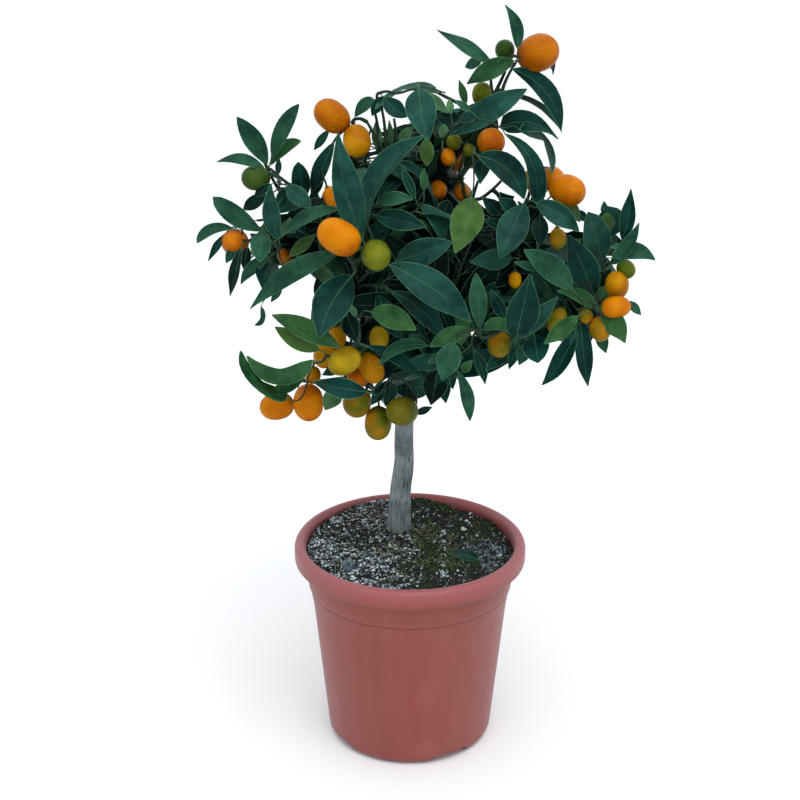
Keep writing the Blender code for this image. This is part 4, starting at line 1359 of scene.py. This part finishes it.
fruitShape = {
    "rows": 15,
    "columns": 20,
    "lengthToWidth": 1.30,
    "stalk": 0.007,
    "hidden": 34,
    "hiddenFrom": 0.045,
    "unevenness": 0.022,
}
calyx = {
    "columns": 20,
    "radii": (0.0010, 0.0017, 0.0034),
    "heights": (-0.0014, -0.0006, 0.0001),
    "tip": 0.0016,
}


def seenFruit():
    # each fruit's middle, the way its far end points, its length and width, all worked out from its pixels
    middleX, middleY, longSeen, wideSeen, angle, depth = np.array([row[:6] for row in fruitSeen], float).T
    middle = fromPhoto(middleX, middleY, depth)
    scale = viewDepth(middle) / camera["focal"]
    shown, width = longSeen * scale, wideSeen * scale
    full = np.maximum(shown, width * fruitShape["lengthToWidth"])
    level = np.sqrt(np.clip((shown ** 2 - width ** 2) / (full ** 2 - width ** 2 + 1e-9), 0.02, 1))
    turn = np.radians(angle)
    flat = rightward * np.cos(turn)[:, None] + cameraUp * np.sin(turn)[:, None]
    way = flat * level[:, None] + towardsCamera * np.sqrt(1 - level ** 2)[:, None]
    return middle, unit(way), full, width, [row[6] for row in fruitSeen]


def hiddenFruit(paths, curtain):
    # fruit on the back and sides hangs from twigs that stand well out from the middle, where the front hides
    # it; with the twig's place and the stalk's end
    chance = np.random.default_rng(12)
    tips = paths[:, -3]
    outward = unit(tips - growth["crownMiddle"])
    spots = tips + outward * 0.012 - upward * 0.016
    around = spots[:, None] + np.array([[0, 0, 0], [0.02, 0, 0], [-0.02, 0, 0], [0, 0, 0.02], [0, 0, -0.02]])
    hidden = showsRight(around).all(axis=1) & curtain.behind(spots, 14.0, 0.03)
    good = np.nonzero((tips[:, 1] > fruitShape["hiddenFrom"]) & hidden)[0]
    good = chance.permutation(good)[:fruitShape["hidden"]]
    tips, outward = tips[good], outward[good]
    ripeness = chance.choice(["ripe", "ripe", "ripe", "amber", "yellow", "lime", "green"], len(good))
    width = chance.uniform(0.022, 0.029, len(good))
    full = width * chance.uniform(1.22, 1.42, len(good))
    way = unit(outward * 0.5 - upward * 0.9 + chance.normal(0, 0.25, (len(good), 3)))
    stalk = tips + outward * 0.007 - upward * 0.004
    return stalk + way * full[:, None] / 2, way, full, width, ripeness, tips, stalk


def fruitBodies(middle, way, full, width):
    # turned about its axis: the radius is (1 - |t|^2.3)^(1/2.1) for t from -1 at the stalk to 1
    count = len(middle)
    rows, columns = fruitShape["rows"], fruitShape["columns"]
    t = -np.cos(np.linspace(0.12, math.pi - 0.10, rows))
    radius = (1 - np.abs(t) ** 2.3) ** (1 / 2.1)
    turn = np.linspace(0, math.tau, columns, endpoint=False)
    spot = aroundAt(turn[None], 1, t[:, None])
    uneven = 1 + fruitShape["unevenness"] * ripples(spot[None] + middle[:, None, None] * 60, 1.6, 8, 2)
    reach = (radius[:, None] * uneven) * (width / 2)[:, None, None]
    rise = ((full / 2)[:, None] * t)[:, :, None, None]
    out = ringAbout(way, turn)[:, None] * reach[..., None]
    body = middle[:, None, None] + way[:, None, None] * rise + out
    ends = np.stack([middle - way * (full * 0.487)[:, None], middle + way * (full * 0.498)[:, None]], axis=1)
    points = np.concatenate([body.reshape(count, rows * columns, 3), ends], axis=1)
    return points.reshape(-1, 3), *roundFaces(rows, columns, count)


def calyxShapes(middle, way, full):
    # a small cap of five lobes on the stalk end, its rim lifting off the skin between them
    count, columns = len(middle), calyx["columns"]
    turn = np.linspace(0, math.tau, columns, endpoint=False)
    lobes = 0.72 + 0.28 * np.cos(5 * turn)
    foot = middle - way * (full * 0.5)[:, None]
    reach = np.array(calyx["radii"])[:, None] * np.stack([0 * turn + 1, 0 * turn + 1, lobes])
    rise = np.array(calyx["heights"])[:, None, None]
    body = foot[:, None, None] + way[:, None, None] * rise + ringAbout(way, turn)[:, None] * reach[..., None]
    size = 3 * columns + 1
    tip = (foot - way * calyx["tip"])[:, None]
    points = np.concatenate([body.reshape(count, 3 * columns, 3), tip], axis=1)
    fans = repeated(fanFaces(size - 1, 0, columns, False), count, size)
    return points.reshape(-1, 3), repeated(gridFaces(3, columns, True), count, size), fans


tones = {
    # shade is a painted shade: a near-black green for leaves deep in the crown and in its shadow
    "shade": ((2, 14, 12), (4, 30, 24)),
    "deep": ((3, 28, 25), (12, 54, 48)),
    "teal": ((10, 42, 38), (28, 70, 60)),
    "mid": ((16, 48, 36), (36, 78, 58)),
    "green": ((20, 52, 28), (44, 84, 48)),
    "bright": ((26, 56, 28), (48, 86, 46)),
    "yellow": ((30, 56, 24), (62, 90, 40)),
    "pale": ((48, 82, 54), (78, 114, 78)),
}
fruitTones = {
    "ripe": ((152, 74, 1), (184, 110, 2)),
    # the ripe colour painted darker: a painted shade on fruit high in the crown
    "burnt": ((132, 60, 1), (164, 94, 2)),
    "amber": ((146, 90, 2), (176, 124, 4)),
    "yellow": ((124, 98, 8), (158, 134, 20)),
    "lime": ((64, 80, 12), (104, 106, 22)),
    "olive": ((50, 64, 14), (92, 86, 16)),
    "green": ((38, 62, 20), (62, 84, 32)),
    "turning": ((66, 82, 12), (146, 98, 10)),
}


def leafFinish(name, dark, light, gloss=0.05):
    # two greens in soft blotches, a fine grain and a waxy face that is duller in places
    dark, light = colour(*dark), colour(*light)
    finish = Finish(name, {"Specular IOR Level": gloss})
    blotch = finish.noise(46)
    patches = finish.noise(170)
    grain = finish.noise(700)
    finish.blend(blotch * 0.7 + patches * 0.3, 0.36, 0.64, dark, light)
    finish.cover(grain, 0.5, 0.8, 0.25, scaled(light, 1.3))
    finish.dull(finish.between(blotch + grain * 0.5, 0.4, 1.1, 0.36, 0.54))
    finish.bump(patches * 0.8 + grain * 0.3, 0.30, 0.0008)
    return finish.material


def fruitFinish(name, dark, light):
    # waxy skin with small sunk oil glands, the colour in soft clouds
    dark, light = colour(*dark), colour(*light)
    finish = Finish(name, {"Specular IOR Level": 0.05})
    glands = finish.cells(620)
    finish.blend(finish.noise(48), 0.35, 0.65, dark, light)
    finish.cover(glands, 0.42, 0.0, 0.30, scaled(dark, 0.7))
    finish.dull(finish.between(glands, 0.0, 0.5, 0.40, 0.28))
    finish.bump(glands, 0.55, 0.0009)
    return finish.material


def evenTubes(paths, ends, sides):
    # tubes that all taper from the first radius to the second
    radii = np.linspace(*ends, paths.shape[1])
    return tubes(paths, np.repeat(radii[None], len(paths), axis=0), sides)


def makeCrown():
    shown = seenLeaves()
    middle, way, full, width, ripeness = seenFruit()
    blades = bladePoints(shown, np.linspace(0.1, 0.95, 7), [-0.7, 0.0, 0.7]).reshape(-1, 3)
    curtain = Curtain(np.concatenate([blades, middle, middle + cameraUp * 0.010, middle - cameraUp * 0.010]))
    # the fruit's stalks, and the stems that carry everything the photo shows
    stalkFoot = middle - way * (full / 2)[:, None]
    stalkStart = stalkFoot - way * fruitShape["stalk"] * 0.7 + upward * fruitShape["stalk"] * 0.5
    stalkStart = stalkStart - towardsCamera * 0.004
    roots = np.concatenate([shown["root"], stalkStart])
    ways = np.concatenate([unit(shown["base"] - shown["root"]), way])
    wood, woodWay = limbWood()
    bare = bareStems()
    bareWay = unit(np.gradient(bare, axis=1))
    feet, feetRadii = growStems(bare[:, 0], bareWay[:, 0], wood, woodWay)
    wood = np.concatenate([wood, bare[:, 1:].reshape(-1, 3)])
    woodWay = np.concatenate([woodWay, bareWay[:, 1:].reshape(-1, 3)])
    stems, stemRadii = growStems(roots, ways, wood, woodWay)
    twigs = growTwigs(curtain)
    leafy = np.linalg.norm(stems[:, -1] - stems[:, 0], axis=-1) > growth["leafyStem"]
    grown = growLeaves(np.concatenate([twigs, stems[leafy]]), curtain)
    seenCount, grownCount = len(shown["root"]), len(grown["root"])
    print(f"{seenCount} leaves from the photo, {len(twigs)} twigs and {grownCount} more leaves grown")
    leaves = joined([shown, grown, fallenLeaf()])
    foliage = ["foliage_" + name for name in masses]

    def addFoliage(name, shape, finish):
        addPiece(name, [shape], finish, foliage)

    for tone, look in tones.items():
        chosen = {name: values[leaves["tone"] == tone] for name, values in leaves.items()}
        addFoliage("leaves_" + tone, leafSheets(chosen), leafFinish("leaf_" + tone, *look))
    # the undersides are painted a dark green, not their own paler colour: a painted shade for the side that
    # faces down
    underLook = leafFinish("leaf_under", (24, 54, 38), (44, 78, 56), 0.02)
    addFoliage("leaf_undersides", leafSheets(leaves, True), underLook)
    # the pale edge strips are a painted highlight, the light caught along each leaf's edge
    addFoliage("leaf_margins_painted_highlight", leafMargins(leaves), leafFinish("leaf_edge_painted_highlight", (48, 86, 62), (86, 126, 92)))
    addFoliage("leaf_stalks", leafStalks(leaves), leafFinish("leaf_rib", (40, 76, 54), (60, 98, 70)))
    *hidden, twigSpot, stalkEnd = hiddenFruit(twigs, curtain)
    start, end = np.concatenate([stalkStart, twigSpot]), np.concatenate([stalkFoot, stalkEnd])
    bend = start * 0.45 + end * 0.55 + upward * 0.001
    shapes = [
        tubes(stems, stemRadii, stemShape["sides"]),
        tubes(feet, np.maximum(feetRadii, stemShape["bare"][0]), stemShape["sides"]),
        evenTubes(bare, stemShape["bare"], stemShape["sides"]),
        evenTubes(twigs, stemShape["twig"], stemShape["sides"]),
        evenTubes(np.stack([start, bend, end], axis=1), stemShape["fruitStalk"], stemShape["fruitSides"]),
    ]
    addPiece("twigs", shapes, leafFinish("bark_twig", (26, 44, 32), (44, 60, 46)))
    *fruit, ripe = (np.concatenate(pair) for pair in zip((middle, way, full, width, ripeness), hidden))
    for tone, look in fruitTones.items():
        bodies = fruitBodies(*(part[ripe == tone] for part in fruit))
        addFoliage("fruit_" + tone, bodies, fruitFinish("fruit_" + tone, *look))
    addFoliage("calyxes", calyxShapes(*fruit[:3]), leafFinish("calyx_green", (34, 62, 38), (58, 86, 54)))


makeCrown()
print("crown made")

# The studio: a pale floor, a soft dome of light that is stronger overhead, and one broad lamp.
studio = {
    "floor": 0.74,
    "floorReach": 24.0,
    "zenith": (1.50, 1.55, 1.60, 1.0),
    "horizon": (1.02, 1.03, 1.05, 1.0),
    "lampPower": 26.0,
    "lampSize": 1.4,
    "lampPlace": (0.35, -1.2, 2.3),
    "lampAim": (0.0, 0.0, 0.42),
}


def addFloor():
    reach = studio["floorReach"]
    mesh = bpy.data.meshes.new("floor")
    corners = [(-reach, -reach, 0), (reach, -reach, 0), (reach, reach, 0), (-reach, reach, 0)]
    mesh.from_pydata(corners, [], [(0, 1, 2, 3)])
    floor = bpy.data.objects.new("floor", mesh)
    bpy.context.collection.objects.link(floor)
    finish = Finish("floor_white", {"Roughness": 0.9, "Specular IOR Level": 0.1})
    finish.paint((studio["floor"],) * 3 + (1.0,))
    mesh.materials.append(finish.material)


def addDome():
    # light from all sides, from the horizon's strength up to the zenith's
    world = bpy.data.worlds.new("dome")
    bpy.context.scene.world = world
    nodes = Nodes(world)
    rise = nodes.node("SeparateXYZ", {}, {0: nodes.node("TexCoord", output="Generated")}, output="Z")
    stops = [(0.0, studio["horizon"]), (1.0, studio["zenith"])]
    background = nodes.node("Background", {}, {"Color": nodes.node("ValToRGB", {"stops": stops}, {0: rise})})
    nodes.node("OutputWorld", {}, {"Surface": background})


def addLamp():
    data = bpy.data.lights.new("lamp", "AREA")
    data.energy = studio["lampPower"]
    data.size = studio["lampSize"]
    lamp = bpy.data.objects.new("lamp", data)
    lamp.location = studio["lampPlace"]
    aim = np.array(studio["lampAim"]) - np.array(studio["lampPlace"])
    turn = math.atan2(aim[0], -aim[1])
    tilt = math.atan2(np.hypot(aim[0], aim[1]), -aim[2])
    lamp.rotation_euler = (tilt, 0, turn + math.pi)
    bpy.context.collection.objects.link(lamp)


addFloor()
addDome()
addLamp()
bpy.context.scene.view_settings.view_transform = "Standard"
print("studio lit")
